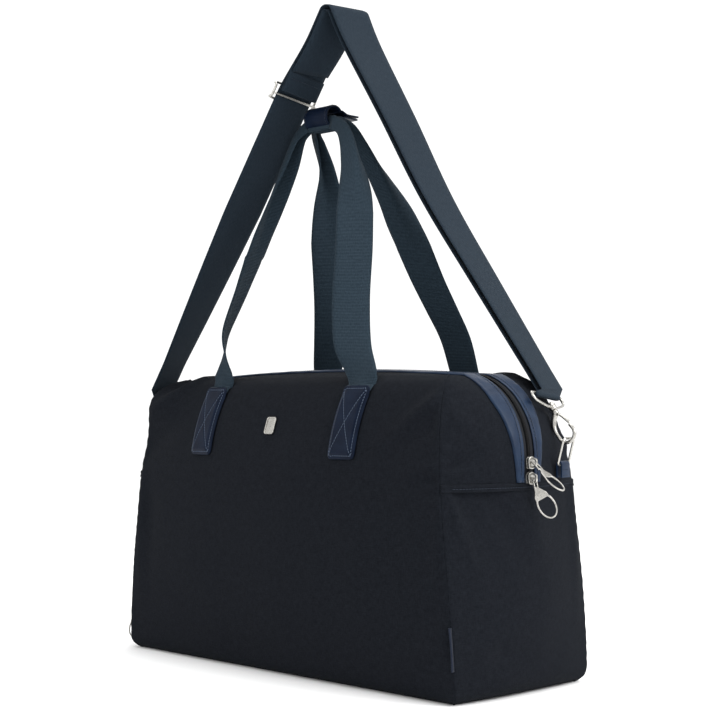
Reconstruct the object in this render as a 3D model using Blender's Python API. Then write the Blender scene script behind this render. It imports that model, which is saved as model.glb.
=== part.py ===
"""Weekender bag: a soft zipped holdall with two webbing handles gathered in a leather wrap, a clip-on
shoulder strap, end pocket, zipped shoe compartment and leather-trimmed main zip.

Frame: metres, +Z up. +X runs along the bag's length to the right end, -Y is the front.
The origin is the middle of the base, on the surface that the bag stands on.
"""

import math

import bpy
from mathutils import Vector

# Driving dimensions, in metres.
CLOTH = 0.0016          # thickness of the shell fabric
LEATHER = 0.0018        # thickness of the leather trims
WEBBING = 0.0022        # thickness of handle and strap webbing
GAP = 0.0004            # gap kept between pieces that touch
POCKET_TOP = 0.198      # height of the seam across both ends
HANDLE_WIDTH = 0.038
PATCH_SPREAD = 0.107    # distance of each handle patch from the middle of the bag
PATCH_WIDTH = 0.035
PATCH_BOTTOM, PATCH_TOP = 0.218, 0.287
WRAP_CENTRE = (-0.032, 0.0, 0.5790)
WRAP_LENGTH = 0.036
WRAP_BORE = 0.0108      # inner radius of the handle wrap
STRAP_WIDTH = 0.050
STRAP_THICKNESS = 0.0018
STRAP_APART = 0.0052    # distance between the middles of the strap's two layers
STRAP_BEARINGS = {1: 0.316, -1: 0.290}     # the strap's right and left legs, as y gained for each x
RING_Y = 0.052          # how far off the middle the D-rings hang
RING_TURN = math.radians(9)       # the rings face this far round from +X
RING_WIRE, RING_HALF_WIDTH, RING_HEIGHT = 0.00125, 0.0102, 0.026
RING_LEAN = math.radians(15)       # the rings stand off the bag by this much
HOOK_WIRE, HOOK_RADIUS = 0.0018, 0.0088
LOOP_WIRE = 0.0014

# The shell's corner seam at ten stations from the floor to the top edge:
# height, half length, half depth, how far the front swells, how far the end swells.
STATIONS = (
    (0.0008, 0.2370, 0.0885, 0.0000, 0.0030),
    (0.0070, 0.2440, 0.0955, 0.0020, 0.0060),
    (0.0250, 0.2450, 0.0975, 0.0050, 0.0100),
    (0.0900, 0.2400, 0.0985, 0.0110, 0.0170),
    (0.1500, 0.2330, 0.0980, 0.0135, 0.0205),
    (0.2000, 0.2270, 0.0965, 0.0145, 0.0240),
    (0.2220, 0.2235, 0.0935, 0.0145, 0.0275),
    (0.2400, 0.2205, 0.0900, 0.0140, 0.0284),
    (0.2570, 0.2170, 0.0850, 0.0135, 0.0260),
    (0.2720, 0.2135, 0.0790, 0.0130, 0.0200),
    (0.2840, 0.2100, 0.0725, 0.0125, 0.0118),
    (0.2930, 0.2060, 0.0650, 0.0115, 0.0018),
    (0.2985, 0.2000, 0.0540, 0.0105, -0.0056),
)
CROWN = 0.0075          # rise of the top from its edges to the zip
SHOULDER = (-0.212, -0.079, 0.273)      # the corner that the strap draws out

COLOURS = {
    "cloth": ((0.018, 0.024, 0.034), 0.85, 0.0),
    "webbing": ((0.022, 0.032, 0.043), 0.80, 0.0),
    "leather": ((0.016, 0.030, 0.065), 0.42, 0.0),
    "lining": ((0.050, 0.060, 0.075), 0.75, 0.0),
    "board": ((0.070, 0.070, 0.070), 0.70, 0.0),
    "zip": ((0.012, 0.013, 0.015), 0.50, 0.0),
    "nickel": ((0.620, 0.600, 0.570), 0.28, 1.0),
    "label": ((0.015, 0.025, 0.060), 0.70, 0.0),
}


# ---------------------------------------------------------------- making objects

def clear_scene():
    for obj in list(bpy.data.objects):
        bpy.data.objects.remove(obj, do_unlink=True)


def material(name):
    found = bpy.data.materials.get(name)
    if found:
        return found
    colour, roughness, metallic = COLOURS[name]
    made = bpy.data.materials.new(name)
    made.use_nodes = True
    shader = made.node_tree.nodes["Principled BSDF"]
    shader.inputs["Base Color"].default_value = (*colour, 1.0)
    shader.inputs["Roughness"].default_value = roughness
    shader.inputs["Metallic"].default_value = metallic
    made.diffuse_color = (*colour, 1.0)
    return made


def mesh_object(name, points, faces, finish, origin=(0.0, 0.0, 0.0)):
    """An object whose mesh is given in world space, with its own origin placed at origin."""
    start = Vector(origin)
    mesh = bpy.data.meshes.new(name)
    mesh.from_pydata([Vector(p) - start for p in points], [], faces)
    mesh.materials.append(material(finish))
    mesh.shade_smooth()
    mesh.set_sharp_from_angle(angle=math.radians(35))
    made = bpy.data.objects.new(name, mesh)
    made.location = start
    bpy.context.scene.collection.objects.link(made)
    return made


def thicken(obj, thickness):
    """Gives a sheet its thickness, inwards from the face it was drawn on."""
    solid = obj.modifiers.new("Thickness", "SOLIDIFY")
    solid.thickness = thickness
    solid.offset = -1.0
    return obj


def steps(first, last, count):
    return [first + (last - first) * i / (count - 1) for i in range(count)]


def sheet(name, surface, us, vs, finish, thickness, lift=0.0):
    """A sewn panel: the grid us by vs of surface(u, v), raised by lift, then made thickness deep below that."""
    points = []
    for v in vs:
        for u in us:
            points.append(surface(u, v) + normal_of(surface, u, v) * lift)
    wide = len(us)
    faces = []
    for j in range(len(vs) - 1):
        for i in range(wide - 1):
            corner = j * wide + i
            faces.append((corner, corner + 1, corner + wide + 1, corner + wide))
    return thicken(mesh_object(name, points, faces, finish), thickness)


def normal_of(surface, u, v, reach=1e-4):
    across = surface(u + reach, v) - surface(u - reach, v)
    upward = surface(u, v + reach) - surface(u, v - reach)
    return across.cross(upward).normalized()


def loft(name, sections, finish, origin=(0.0, 0.0, 0.0), closed=False):
    """A solid through a row of outlines that all have the same number of points. Closed joins last to first."""
    count = len(sections[0])
    points = [p for section in sections for p in section]
    rings = len(sections)
    faces = []
    for ring in range(rings if closed else rings - 1):
        here, there = ring * count, (ring + 1) % rings * count
        for i in range(count):
            j = (i + 1) % count
            faces.append((here + i, here + j, there + j, there + i))
    if not closed:
        faces.append(tuple(reversed(range(count))))
        faces.append(tuple((rings - 1) * count + i for i in range(count)))
    return mesh_object(name, points, faces, finish, origin)


def ribbon(name, path, finish, origin=(0.0, 0.0, 0.0)):
    """Webbing along a path of (centre, direction across, width, thickness)."""
    sections = []
    for i, (centre, across, width, thickness) in enumerate(path):
        before = path[max(i - 1, 0)][0]
        after = path[min(i + 1, len(path) - 1)][0]
        along = (after - before).normalized()
        side = across.normalized()
        face = side.cross(along).normalized()
        half, deep = side * width / 2, face * thickness / 2
        sections.append([centre - half - deep, centre + half - deep, centre + half + deep, centre - half + deep])
    return loft(name, sections, finish, origin)


def rod(name, points, radii, finish, origin=(0.0, 0.0, 0.0), sides=10, closed=False):
    """A round bar through points that lie in one plane, with a radius at each point. It ends flat, or is a ring."""
    count = len(points)
    edge_a, edge_b = points[count // 3] - points[0], points[2 * count // 3] - points[0]
    flat = edge_a.cross(edge_b)
    if flat.length < 1e-12:
        flat = edge_a.orthogonal()
    flat.normalize()
    sections = []
    for i, centre in enumerate(points):
        before = points[(i - 1) % count] if closed else points[max(i - 1, 0)]
        after = points[(i + 1) % count] if closed else points[min(i + 1, count - 1)]
        along = (after - before).normalized()
        outwards = along.cross(flat).normalized()
        radius = radii[i] if isinstance(radii, (list, tuple)) else radii
        ring = []
        for k in range(sides):
            angle = 2 * math.pi * k / sides
            ring.append(centre + (outwards * math.cos(angle) + flat * math.sin(angle)) * radius)
        sections.append(ring)
    return loft(name, sections, finish, origin, closed)


def turned(name, profile, centre, axis, finish, origin=(0.0, 0.0, 0.0), sides=16):
    """A turned piece: profile is a closed outline of (distance along the axis, radius)."""
    side = axis.orthogonal().normalized()
    other = axis.cross(side)
    sections = []
    for k in range(sides):
        angle = 2 * math.pi * k / sides
        spoke = side * math.cos(angle) + other * math.sin(angle)
        sections.append([centre + axis * along + spoke * radius for along, radius in profile])
    return loft(name, sections, finish, origin, closed=True)


def prism(name, outline, place, across, finish, origin=(0.0, 0.0, 0.0)):
    """A plate: outline is (u, v) pairs, place(u, v, w) puts them in space, and across is the pair of w values."""
    sections = [[place(u, v, w) for u, v in outline] for w in across]
    return loft(name, sections, finish, origin)


def round_inset(corner, from_edge):
    """How far a rounded corner cuts into a side, at a distance from the edge that the corner ends on."""
    short = min(max(corner - from_edge, 0.0), corner)
    return corner - math.sqrt(corner * corner - short * short)


def smooth_path(knots, per_span):
    """Points on a Catmull-Rom curve through vectors or tuples of numbers."""
    made = []
    count = len(knots)
    for i in range(count - 1):
        quad = [knots[max(i - 1, 0)], knots[i], knots[i + 1], knots[min(i + 2, count - 1)]]
        for k in range(per_span):
            made.append(spline_value(quad, k / per_span))
    made.append(tuple(knots[-1]))
    return made


def spline_value(quad, t):
    a, b, c, d = quad
    return tuple(
        0.5 * (2 * q + (r - p) * t + (2 * p - 5 * q + 4 * r - s) * t * t + (3 * q - p - 3 * r + s) * t ** 3)
        for p, q, r, s in zip(a, b, c, d)
    )


# ---------------------------------------------------------------- the bag's outer surface

def station(s):
    """Height, half length, half depth, front swell and end swell at s, from 0 at the floor to 1 at the top edge."""
    last = len(STATIONS) - 1
    place = min(max(s, 0.0), 1.0) * last
    i = min(int(place), last - 1)
    quad = [STATIONS[max(i - 1, 0)], STATIONS[i], STATIONS[i + 1], STATIONS[min(i + 2, last)]]
    return spline_value(quad, place - i)


def station_at(height):
    low, high = 0.0, 1.0
    for _ in range(40):
        middle = (low + high) / 2
        if station(middle)[0] < height:
            low = middle
        else:
            high = middle
    return (low + high) / 2


def drawn_out(point):
    """The front left shoulder is drawn forwards and up where the strap pulls at the bag."""
    x, y, z = SHOULDER
    away = ((point.x - x) / 0.045) ** 2 + ((point.y - y) / 0.024) ** 2 + ((point.z - z) / 0.028) ** 2
    return point + Vector((0.0, -0.0150, 0.0050)) * math.exp(-away)


def long_side(facing, u, s):
    """The front (facing -1) or back (facing 1) at u from -1 to 1 across and s up."""
    height, length, depth, swell, _ = station(s)
    return drawn_out(Vector((-facing * u * length, facing * (depth + swell * (1 - u * u)), height)))


def end_side(facing, t, s):
    """The right end (facing 1) or left end (facing -1) at t from -1 to 1 across and s up."""
    height, length, depth, _, swell = station(s)
    return drawn_out(Vector((facing * (length + swell * (1 - t * t)), facing * t * depth, height)))


def top_half_depth(u):
    _, _, depth, swell, _ = STATIONS[-1]
    return depth + swell * (1 - u * u)


def top(u, w):
    """The top, u from -1 to 1 along X and w from -1 to 1 along Y."""
    height, length, _, _, swell = STATIONS[-1]
    rise = CROWN * (1 - u * u) * (1 - w * w)
    return drawn_out(Vector((u * (length + swell * (1 - w * w)), w * top_half_depth(u), height + rise)))


def end_at(facing, y, height):
    """The end at a distance y from the middle plane and a height."""
    s = station_at(height)
    return end_side(facing, facing * y / station(s)[2], s)


def front_at(facing, x, height):
    """The front or back at a distance x from the middle and a height."""
    s = station_at(height)
    return long_side(facing, -facing * x / station(s)[1], s)


# ---------------------------------------------------------------- shell, base and lining

POCKET_S = station_at(POCKET_TOP)
TAPE_EDGE = 0.0105      # where shell panels stop, beside the main zip
END_TOP_S = 0.975       # where the end panels stop, under the top edge


def long_panel(name, facing):
    """Front or back panel, from the floor over the top edge to the main zip."""
    def surface(u, v):
        if v <= 1:
            return long_side(facing, u, v)
        edge = TAPE_EDGE / top_half_depth(u)
        w = facing * (1 - (v - 1) * (1 - edge))
        return top(-facing * u, w)
    us = steps(-1, 1, 13)
    vs = steps(0, 1, 16) + [1.35, 1.7, 2.0]
    return sheet(name, surface, us, vs, "cloth", CLOTH)


def end_surface(facing, s_low, s_high, t_low, t_high):
    """Part of an end, as a surface over 0 to 1 each way. t_low and t_high are functions of s."""
    def surface(p, q):
        s = s_low + (s_high - s_low) * q
        low, high = t_low(s), t_high(s)
        return end_side(facing, low + (high - low) * p, s)
    return surface


def seam_t(s):
    """Where an end panel stops short of the long panel that overlaps its edge."""
    return 1 - (CLOTH + 2 * GAP) / station(s)[2]


def tape_t(s):
    return TAPE_EDGE / station(s)[2]


def gusset(name, facing, half):
    """Upper end panel on one side of the zip: half is -1 for low t and 1 for high t."""
    low = (lambda s: -seam_t(s)) if half < 0 else tape_t
    high = (lambda s: -tape_t(s)) if half < 0 else seam_t
    surface = end_surface(facing, POCKET_S + 0.004, END_TOP_S, low, high)
    return sheet(name, surface, steps(0, 1, 7), steps(0, 1, 11), "cloth", CLOTH)


def shell():
    long_panel("front_panel", -1)
    long_panel("back_panel", 1)
    gusset("right_gusset_front", 1, -1)
    gusset("right_gusset_back", 1, 1)
    gusset("left_gusset_front", -1, 1)
    gusset("left_gusset_back", -1, -1)
    pocket = end_surface(1, 0.0, POCKET_S, lambda s: -seam_t(s), seam_t)
    sheet("right_end_pocket", pocket, steps(0, 1, 13), steps(0, 1, 11), "cloth", CLOTH)
    length, depth = STATIONS[0][1], STATIONS[0][2]
    inset = CLOTH + 3 * GAP
    flat_box("base_panel", length - inset, depth - inset, 0.0, CLOTH, "cloth")
    flat_box("base_board", length - 0.008, depth - 0.006, CLOTH + GAP, CLOTH + GAP + 0.0025, "board")
    lining()


def flat_box(name, half_x, half_y, low, high, finish):
    corner = 0.010
    outline = []
    for cx, cy, start in ((1, 1, 0), (-1, 1, 90), (-1, -1, 180), (1, -1, 270)):
        for turn in steps(start, start + 90, 4):
            angle = math.radians(turn)
            outline.append((cx * (half_x - corner) + corner * math.cos(angle),
                            cy * (half_y - corner) + corner * math.sin(angle)))
    return prism(name, outline, lambda u, v, w: Vector((u, v, w)), (low, high), finish)


def lining():
    """An open-topped tub of lining fabric, hung just inside the shell."""
    inset, thickness, floor, corner = 0.0056, 0.0006, 0.0062, 0.90
    rings = []
    for s in (0.083, 0.15, 0.22, 0.3, 0.4, 0.5, 0.6, 0.7, 0.78):
        ring = []
        for surface, facing, count in ((end_side, 1, 5), (long_side, 1, 7), (end_side, -1, 5), (long_side, -1, 7)):
            def wall(u, v, surface=surface, facing=facing):
                return surface(facing, u, v)
            for u in steps(-corner, corner, count):
                ring.append(wall(u, s) - normal_of(wall, u, s) * inset)
        rings.append(ring)
    for p in rings[0]:
        p.z = floor
    around = len(rings[0])
    points = [p for ring in rings for p in ring]
    faces = [tuple(reversed(range(around)))]
    for j in range(len(rings) - 1):
        for i in range(around):
            k = (i + 1) % around
            faces.append((j * around + i, j * around + k, (j + 1) * around + k, (j + 1) * around + i))
    return thicken(mesh_object("lining", points, faces, "lining"), thickness)


# ---------------------------------------------------------------- main zip

def band_point(q, y):
    """A point over the zip's run, from q 0 at the right pocket seam over the top to 3 at the left one, y off the middle."""
    if q <= 1:
        s = POCKET_S + (1 - POCKET_S) * q
        return end_side(1, y / station(s)[2], s)
    if q >= 2:
        s = POCKET_S + (1 - POCKET_S) * (3 - q)
        return end_side(-1, -y / station(s)[2], s)
    u = 1 - 2 * (q - 1)
    return top(u, y / top_half_depth(u))


def trim_edge(q):
    """Outer edge of the leather trim: narrow at the pocket seams, wider over the shoulders."""
    from_end = min(q, 3 - q)
    return 0.017 + 0.012 * min(from_end / 0.6, 1.0)


def band(name, side, inner, outer, finish, lift, thickness, first=0.0, last=3.0, across=3):
    """A strip beside the zip: side -1 is the front half and 1 the back half."""
    def surface(p, q):
        near, far = inner, outer(q)
        y = near + (far - near) * p if side > 0 else -far + (far - near) * p
        return band_point(q, y)
    ends = [0.0, 0.1, 0.2, 0.3, 0.4, 0.5, 0.6, 0.7, 0.8, 0.9, 1.0]
    stations = ends + [1.1, 1.3, 1.5, 1.7, 1.9] + [3 - q for q in reversed(ends)]
    stations = [first] + [q for q in stations if first < q < last] + [last]
    return sheet(name, surface, steps(0, 1, across), stations, finish, thickness, lift)


def main_zip():
    band("zip_trim_front", -1, 0.0075, trim_edge, "leather", GAP + LEATHER, LEATHER)
    band("zip_trim_back", 1, 0.0075, trim_edge, "leather", GAP + LEATHER, LEATHER)
    run = (0.03, 2.97)
    band("zip_tape_front", -1, 0.0032, lambda q: TAPE_EDGE - GAP, "zip", 0.0, 0.0009, *run)
    band("zip_tape_back", 1, 0.0032, lambda q: TAPE_EDGE - GAP, "zip", 0.0, 0.0009, *run)
    def chain(p, q):
        return band_point(q, -0.0028 + 0.0056 * p)
    ends = steps(0.0, 1.0, 13)
    stations = ends + [1.15, 1.3, 1.5, 1.7, 1.85] + [3 - q for q in reversed(ends)]
    stations = run[:1] + tuple(stations[1:-1]) + run[1:]
    sheet("zip_chain", chain, [0.0, 1.0], stations, "zip", 0.0022, 0.0008)


# Slider and pull, drawn hanging down a wall that faces +X: u is out from the wall, v across it, w up.
SLIDER_HALF = (0.0046, 0.0060)      # half width and half height of a zip slider
SLIDER_FLOOR, SLIDER_ROOF = 0.0016, 0.0046
BAIL = 0.0072                       # how far out from the wall the pull hangs
PULL_SIZE = 0.86
LOOP_CENTRE, LOOP_WIDE, LOOP_LONG = 0.0225, 0.0100, 0.0150      # a pull's finger loop, below its link


def slider(name, place, origin):
    """A zip slider: a shield-shaped plate over the chain with a bridge that holds the pull."""
    wide, tall = SLIDER_HALF
    outline = [(-wide, tall * 0.55), (-wide * 0.55, tall), (wide * 0.55, tall), (wide, tall * 0.55),
               (wide * 0.8, -tall), (-wide * 0.8, -tall)]
    body = prism(name, outline, lambda v, w, u: place(u, v, w), (SLIDER_FLOOR, SLIDER_ROOF), "nickel", origin)
    sunk, crest, inner = SLIDER_ROOF - 0.001, BAIL + 0.0033, BAIL + 0.0019
    profile = [(sunk, 0.0050), (crest - 0.0006, 0.0036), (crest, 0.0028), (crest, -0.0028), (crest - 0.0006, -0.0036),
               (sunk, -0.0050), (sunk, -0.0030), (inner, -0.0020), (inner, 0.0020), (sunk, 0.0030)]
    bridge = prism(name + "_bridge", profile, lambda u, w, v: place(u, v, w), (-0.0011, 0.0011), "nickel", origin)
    return join_solids(body, bridge)


def join_solids(body, other):
    """Adds another closed solid to body with a Boolean union, and keeps the other only as a hidden guide."""
    union = body.modifiers.new("Join " + other.name, "BOOLEAN")
    union.operation = "UNION"
    union.object = other
    other.hide_render = True
    other.display_type = "WIRE"
    return body


def pull(name, hinge, down, across, body_down, body_across, size=1.0):
    """A zip pull: a slotted link that hangs down from the hinge, and below it a plate with an oval finger loop."""
    def frame(start, along, sideways):
        out = sideways.cross(along).normalized()
        def place(v, w, u):
            return start + sideways * v * size + along * w * size + out * u
        return place
    link_place = frame(hinge, down, across)
    half, foot = 0.0034, 0.0118
    link = prism(name, [(half, -0.0011), (half, foot), (-half, foot), (-half, -0.0011)], link_place,
                 (-0.0008, 0.0008), "nickel", hinge)
    cut_through(link, [(-0.0019, 0.0011), (0.0019, 0.0011), (0.0019, 0.0098), (-0.0019, 0.0098)], link_place)
    place = frame(hinge + down * 0.0106 * size, body_down, body_across)
    outer = [(0.0022, -0.0008), (0.0034, 0.0030), (0.0066, 0.0080)]
    for turn in steps(-50, 230, 18):
        angle = math.radians(turn)
        outer.append((LOOP_WIDE * math.cos(angle), LOOP_CENTRE + LOOP_LONG * math.sin(angle)))
    outer += [(-0.0066, 0.0080), (-0.0034, 0.0030), (-0.0022, -0.0008)]
    body = prism(name + "_loop", outer, place, (-0.0007, 0.0007), "nickel", hinge)
    hole = []
    for turn in steps(-42, 222, 17):
        angle = math.radians(turn)
        hole.append(((LOOP_WIDE - 0.0017) * math.cos(angle), LOOP_CENTRE + (LOOP_LONG - 0.0020) * math.sin(angle)))
    cut_through(body, hole, place)
    return join_solids(link, body)


def cut_through(body, outline, place):
    cutter = prism(body.name + "_cutter", outline, place, (-0.004, 0.004), "nickel")
    cutter.hide_render = True
    cutter.display_type = "WIRE"
    if signed_volume(cutter.data) < 0:
        cutter.data.flip_normals()
    cut = body.modifiers.new("Cut", "BOOLEAN")
    cut.operation = "DIFFERENCE"
    cut.object = cutter


def signed_volume(mesh):
    mesh.calc_loop_triangles()
    total = 0.0
    for triangle in mesh.loop_triangles:
        a, b, c = (mesh.vertices[i].co for i in triangle.vertices)
        total += a.dot(b.cross(c))
    return total


def outward(obj):
    """Turns a mesh's faces round if they point in."""
    if obj.type == "MESH" and signed_volume(obj.data) < 0:
        obj.data.flip_normals()
    return obj


# The main zip's sliders: name, height, how far the link leans out, and which way the loop hangs and faces.
SLIDERS = (
    ("upper", 0.2165, 52.0, (0.800, 0.040, -0.599), (-0.050, 0.9987, 0.000)),
    ("lower", 0.2020, 14.0, (0.359, 0.369, -0.857), (0.597, 0.615, 0.515)),
)


def lean_out(degrees):
    tilt = math.radians(degrees)
    return Vector((math.sin(tilt), 0.0, -math.cos(tilt)))


def square_to(direction, along):
    """The part of direction that is square to along."""
    return (direction - along * direction.dot(along)).normalized()


def sliders():
    for name, height, lean, body_down, body_across in SLIDERS:
        wall = end_at(1, 0.0, height)
        def place(u, v, w, wall=wall):
            return wall + Vector((u, v, w))
        slider("zip_slider_" + name, place, wall)
        hang = Vector(body_down).normalized()
        hinge = wall + Vector((BAIL, 0, 0))
        pull("zip_pull_" + name, hinge, lean_out(lean), Vector((0, 1, 0)), hang, square_to(Vector(body_across), hang),
             PULL_SIZE)


# ---------------------------------------------------------------- left end: shoe compartment

DOOR_HALF_WIDTH, DOOR_TOP, DOOR_CORNER = 0.084, 0.186, 0.030
DOOR_FOOT = 0.012


def door_edge(q, spread):
    """The shoe zip's run: q from 0 at its front foot, 1 and 2 at the top corners, to 3 at the back foot."""
    half, high, corner = DOOR_HALF_WIDTH + spread, DOOR_TOP + spread, DOOR_CORNER + spread
    if q < 1:
        return -half, DOOR_FOOT + (high - corner - DOOR_FOOT) * q
    if q > 2:
        return half, DOOR_FOOT + (high - corner - DOOR_FOOT) * (3 - q)
    turn = q - 1
    if turn < 0.4:
        angle = math.pi - turn / 0.4 * math.pi / 2
        return -half + corner + corner * math.cos(angle), high - corner + corner * math.sin(angle)
    if turn > 0.6:
        angle = (1 - turn) / 0.4 * math.pi / 2
        return half - corner + corner * math.cos(angle), high - corner + corner * math.sin(angle)
    share = (turn - 0.4) / 0.2
    return (-half + corner) * (1 - share) + (half - corner) * share, high


DOOR_STATIONS = steps(0, 1, 7)[:-1] + steps(1, 1.4, 6)[:-1] + steps(1.4, 1.6, 4)[:-1] + steps(1.6, 2, 6)[:-1] \
    + steps(2, 3, 7)


def shoe_compartment():
    half_zip = 0.0034
    def surround(p, q):
        y, z = door_edge(q, half_zip)
        last = seam_t(station_at(z)) * station(station_at(z))[2]
        if q < 1 or q > 2:
            far_y, far_z = math.copysign(last, y), z
        else:
            share = (q - 1.5) * 2
            height = POCKET_TOP - GAP
            wide = seam_t(POCKET_S) * station(POCKET_S)[2]
            far_y, far_z = share * wide, height
            lift = 1 - min(min(q - 1, 2 - q) / 0.2, 1.0)
            far_z = height - (height - (DOOR_TOP - DOOR_CORNER)) * lift * lift
            far_y = math.copysign(min(wide, abs(share) * wide / 0.72), share)
        return end_at(-1, y + (far_y - y) * p, z + (far_z - z) * p)
    sheet("left_end_surround", surround, steps(0, 1, 3), DOOR_STATIONS, "cloth", CLOTH)
    def chain(p, q):
        return end_at(-1, *door_edge(q, half_zip * (2 * p - 1) * 0.82))
    sheet("shoe_zip_chain", chain, [0.0, 1.0], DOOR_STATIONS, "zip", 0.0018, 0.0004)
    def door(p, q):
        height = DOOR_FOOT + (DOOR_TOP - half_zip - DOOR_FOOT) * q
        corner, half = DOOR_CORNER - half_zip, DOOR_HALF_WIDTH - half_zip
        half -= round_inset(corner, DOOR_TOP - half_zip - height)
        return end_at(-1, (1 - 2 * p) * half, height)
    rows = steps(0, 0.8, 7) + [0.88, 0.94, 0.98, 1.0]
    sheet("left_end_door", door, steps(0, 1, 11), rows, "cloth", CLOTH)
    def foot(p, q):
        s = station_at(0.0012 + (DOOR_FOOT - 0.0010 - 0.0012) * q)
        return end_side(-1, seam_t(s) * (2 * p - 1), s)
    sheet("left_end_foot", foot, steps(0, 1, 11), steps(0, 1, 5), "cloth", CLOTH)
    wall = end_at(-1, -DOOR_HALF_WIDTH, 0.041)
    def place(u, v, w):
        return wall + Vector((-u, -v, w))
    slider("shoe_zip_slider", place, wall)
    down = Vector((-0.10, 0.0, -1.0)).normalized()
    across = Vector((0, -1, 0))
    pull("shoe_zip_pull", wall + Vector((-BAIL, 0, 0)), down, across, down, across, 0.68)


# ---------------------------------------------------------------- handles

def on_front(facing, lift):
    """A surface over (x, z) on the front or back, raised by lift."""
    def surface(x, z):
        def bare(u, v):
            return front_at(facing, -facing * u, v)
        point = bare(-facing * x, z)
        return point + normal_of(bare, -facing * x, z) * lift
    return surface


def patch(name, facing, side):
    """A leather patch with rounded lower corners, sewn over the end of a handle."""
    corner, tall = 0.006, PATCH_TOP - PATCH_BOTTOM
    def surface(p, q):
        z = PATCH_BOTTOM + tall * q
        inset = 0.0
        for from_edge in (q * tall, (1 - q) * tall):
            inset += round_inset(corner, from_edge)
        half = PATCH_WIDTH / 2 - inset
        x = side * PATCH_SPREAD - facing * (2 * p - 1) * half
        return front_at(facing, x, z)
    rows = [0, 0.015, 0.04, 0.09] + steps(0.2, 0.8, 5) + [0.91, 0.96, 0.985, 1.0]
    lift = 4 * GAP + WEBBING + LEATHER
    return sheet(name, surface, steps(0, 1, 5), rows, "leather", LEATHER, lift)


# Each handle leg from just above its patch to the wrap: where its middle runs, how far the webbing has turned
# from facing the front, its width and its thickness as it folds together.
FRONT_RIGHT_LEG = (
    ((0.1030, -0.0740, 0.3010), 8, 0.038, 0.0022),
    ((0.0860, -0.0700, 0.3296), 34, 0.038, 0.0022),
    ((0.0725, -0.0592, 0.3752), 46, 0.038, 0.0022),
    ((0.0619, -0.0449, 0.4271), 50, 0.038, 0.0022),
    ((0.0525, -0.0346, 0.4660), 54, 0.038, 0.0022),
    ((0.0470, -0.0270, 0.4950), 60, 0.034, 0.0026),
    ((0.0395, -0.0190, 0.5230), 70, 0.026, 0.0038),
    ((0.0260, -0.0120, 0.5500), 82, 0.016, 0.0060),
    ((0.0110, -0.0075, 0.5680), 90, 0.0105, 0.0095),
    ((-0.0100, -0.0044, 0.5783), 90, 0.0070, 0.0105),
)
FRONT_LEFT_LEG = (
    ((-0.1080, -0.0740, 0.3010), -10, 0.038, 0.0022),
    ((-0.1120, -0.0705, 0.3240), -36, 0.038, 0.0022),
    ((-0.1160, -0.0650, 0.3530), -52, 0.038, 0.0022),
    ((-0.1030, -0.0520, 0.4013), -62, 0.038, 0.0022),
    ((-0.0950, -0.0445, 0.4286), -68, 0.038, 0.0022),
    ((-0.0910, -0.0356, 0.4608), -72, 0.036, 0.0024),
    ((-0.0870, -0.0268, 0.4930), -78, 0.030, 0.0032),
    ((-0.0800, -0.0180, 0.5270), -84, 0.021, 0.0050),
    ((-0.0690, -0.0090, 0.5640), -90, 0.0115, 0.0090),
    ((-0.0540, -0.0044, 0.5783), -90, 0.0070, 0.0105),
)
BACK_RIGHT_LEG = (
    ((0.1050, 0.0740, 0.3010), 2, 0.038, 0.0022),
    ((0.0950, 0.0700, 0.3386), 8, 0.038, 0.0022),
    ((0.0850, 0.0607, 0.3700), 14, 0.038, 0.0022),
    ((0.0732, 0.0519, 0.4017), 20, 0.038, 0.0022),
    ((0.0628, 0.0432, 0.4333), 28, 0.038, 0.0022),
    ((0.0530, 0.0358, 0.4601), 38, 0.036, 0.0024),
    ((0.0440, 0.0285, 0.4900), 50, 0.030, 0.0032),
    ((0.0290, 0.0185, 0.5290), 68, 0.020, 0.0052),
    ((0.0090, 0.0095, 0.5650), 90, 0.0105, 0.0095),
    ((-0.0100, 0.0044, 0.5783), 90, 0.0070, 0.0105),
)
BACK_LEFT_LEG = (
    ((-0.1040, 0.0740, 0.3010), 8, 0.038, 0.0022),
    ((-0.0950, 0.0690, 0.3380), 30, 0.038, 0.0022),
    ((-0.0840, 0.0600, 0.3760), 44, 0.038, 0.0022),
    ((-0.0760, 0.0510, 0.4103), 52, 0.038, 0.0022),
    ((-0.0700, 0.0420, 0.4500), 58, 0.038, 0.0022),
    ((-0.0660, 0.0360, 0.4900), 66, 0.034, 0.0026),
    ((-0.0650, 0.0280, 0.5280), 78, 0.020, 0.0052),
    ((-0.0635, 0.0130, 0.5630), 90, 0.0105, 0.0095),
    ((-0.0540, 0.0044, 0.5783), 90, 0.0070, 0.0105),
)


def leg_path(facing, side, knots):
    """One leg from under its patch to the wrap, as webbing knots."""
    path = []
    ride = on_front(facing, 2 * GAP + WEBBING / 2)
    tangent = ride(side * PATCH_SPREAD + 0.01, PATCH_TOP) - ride(side * PATCH_SPREAD - 0.01, PATCH_TOP)
    slant = math.degrees(math.atan2(tangent.y, tangent.x))
    for z in steps(PATCH_BOTTOM + 0.012, PATCH_TOP - 0.002, 5):
        point = ride(side * PATCH_SPREAD, z)
        path.append((*point, slant, HANDLE_WIDTH - 0.001, WEBBING))
    for place, turn, width, thickness in knots:
        path.append((*place, turn, width, thickness))
    smooth = path[:4] + smooth_path(path[4:], 3)
    made = []
    for x, y, z, turn, width, thickness in smooth:
        angle = math.radians(turn)
        made.append((Vector((x, y, z)), Vector((math.cos(angle), math.sin(angle), 0)), width, thickness))
    return made


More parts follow.
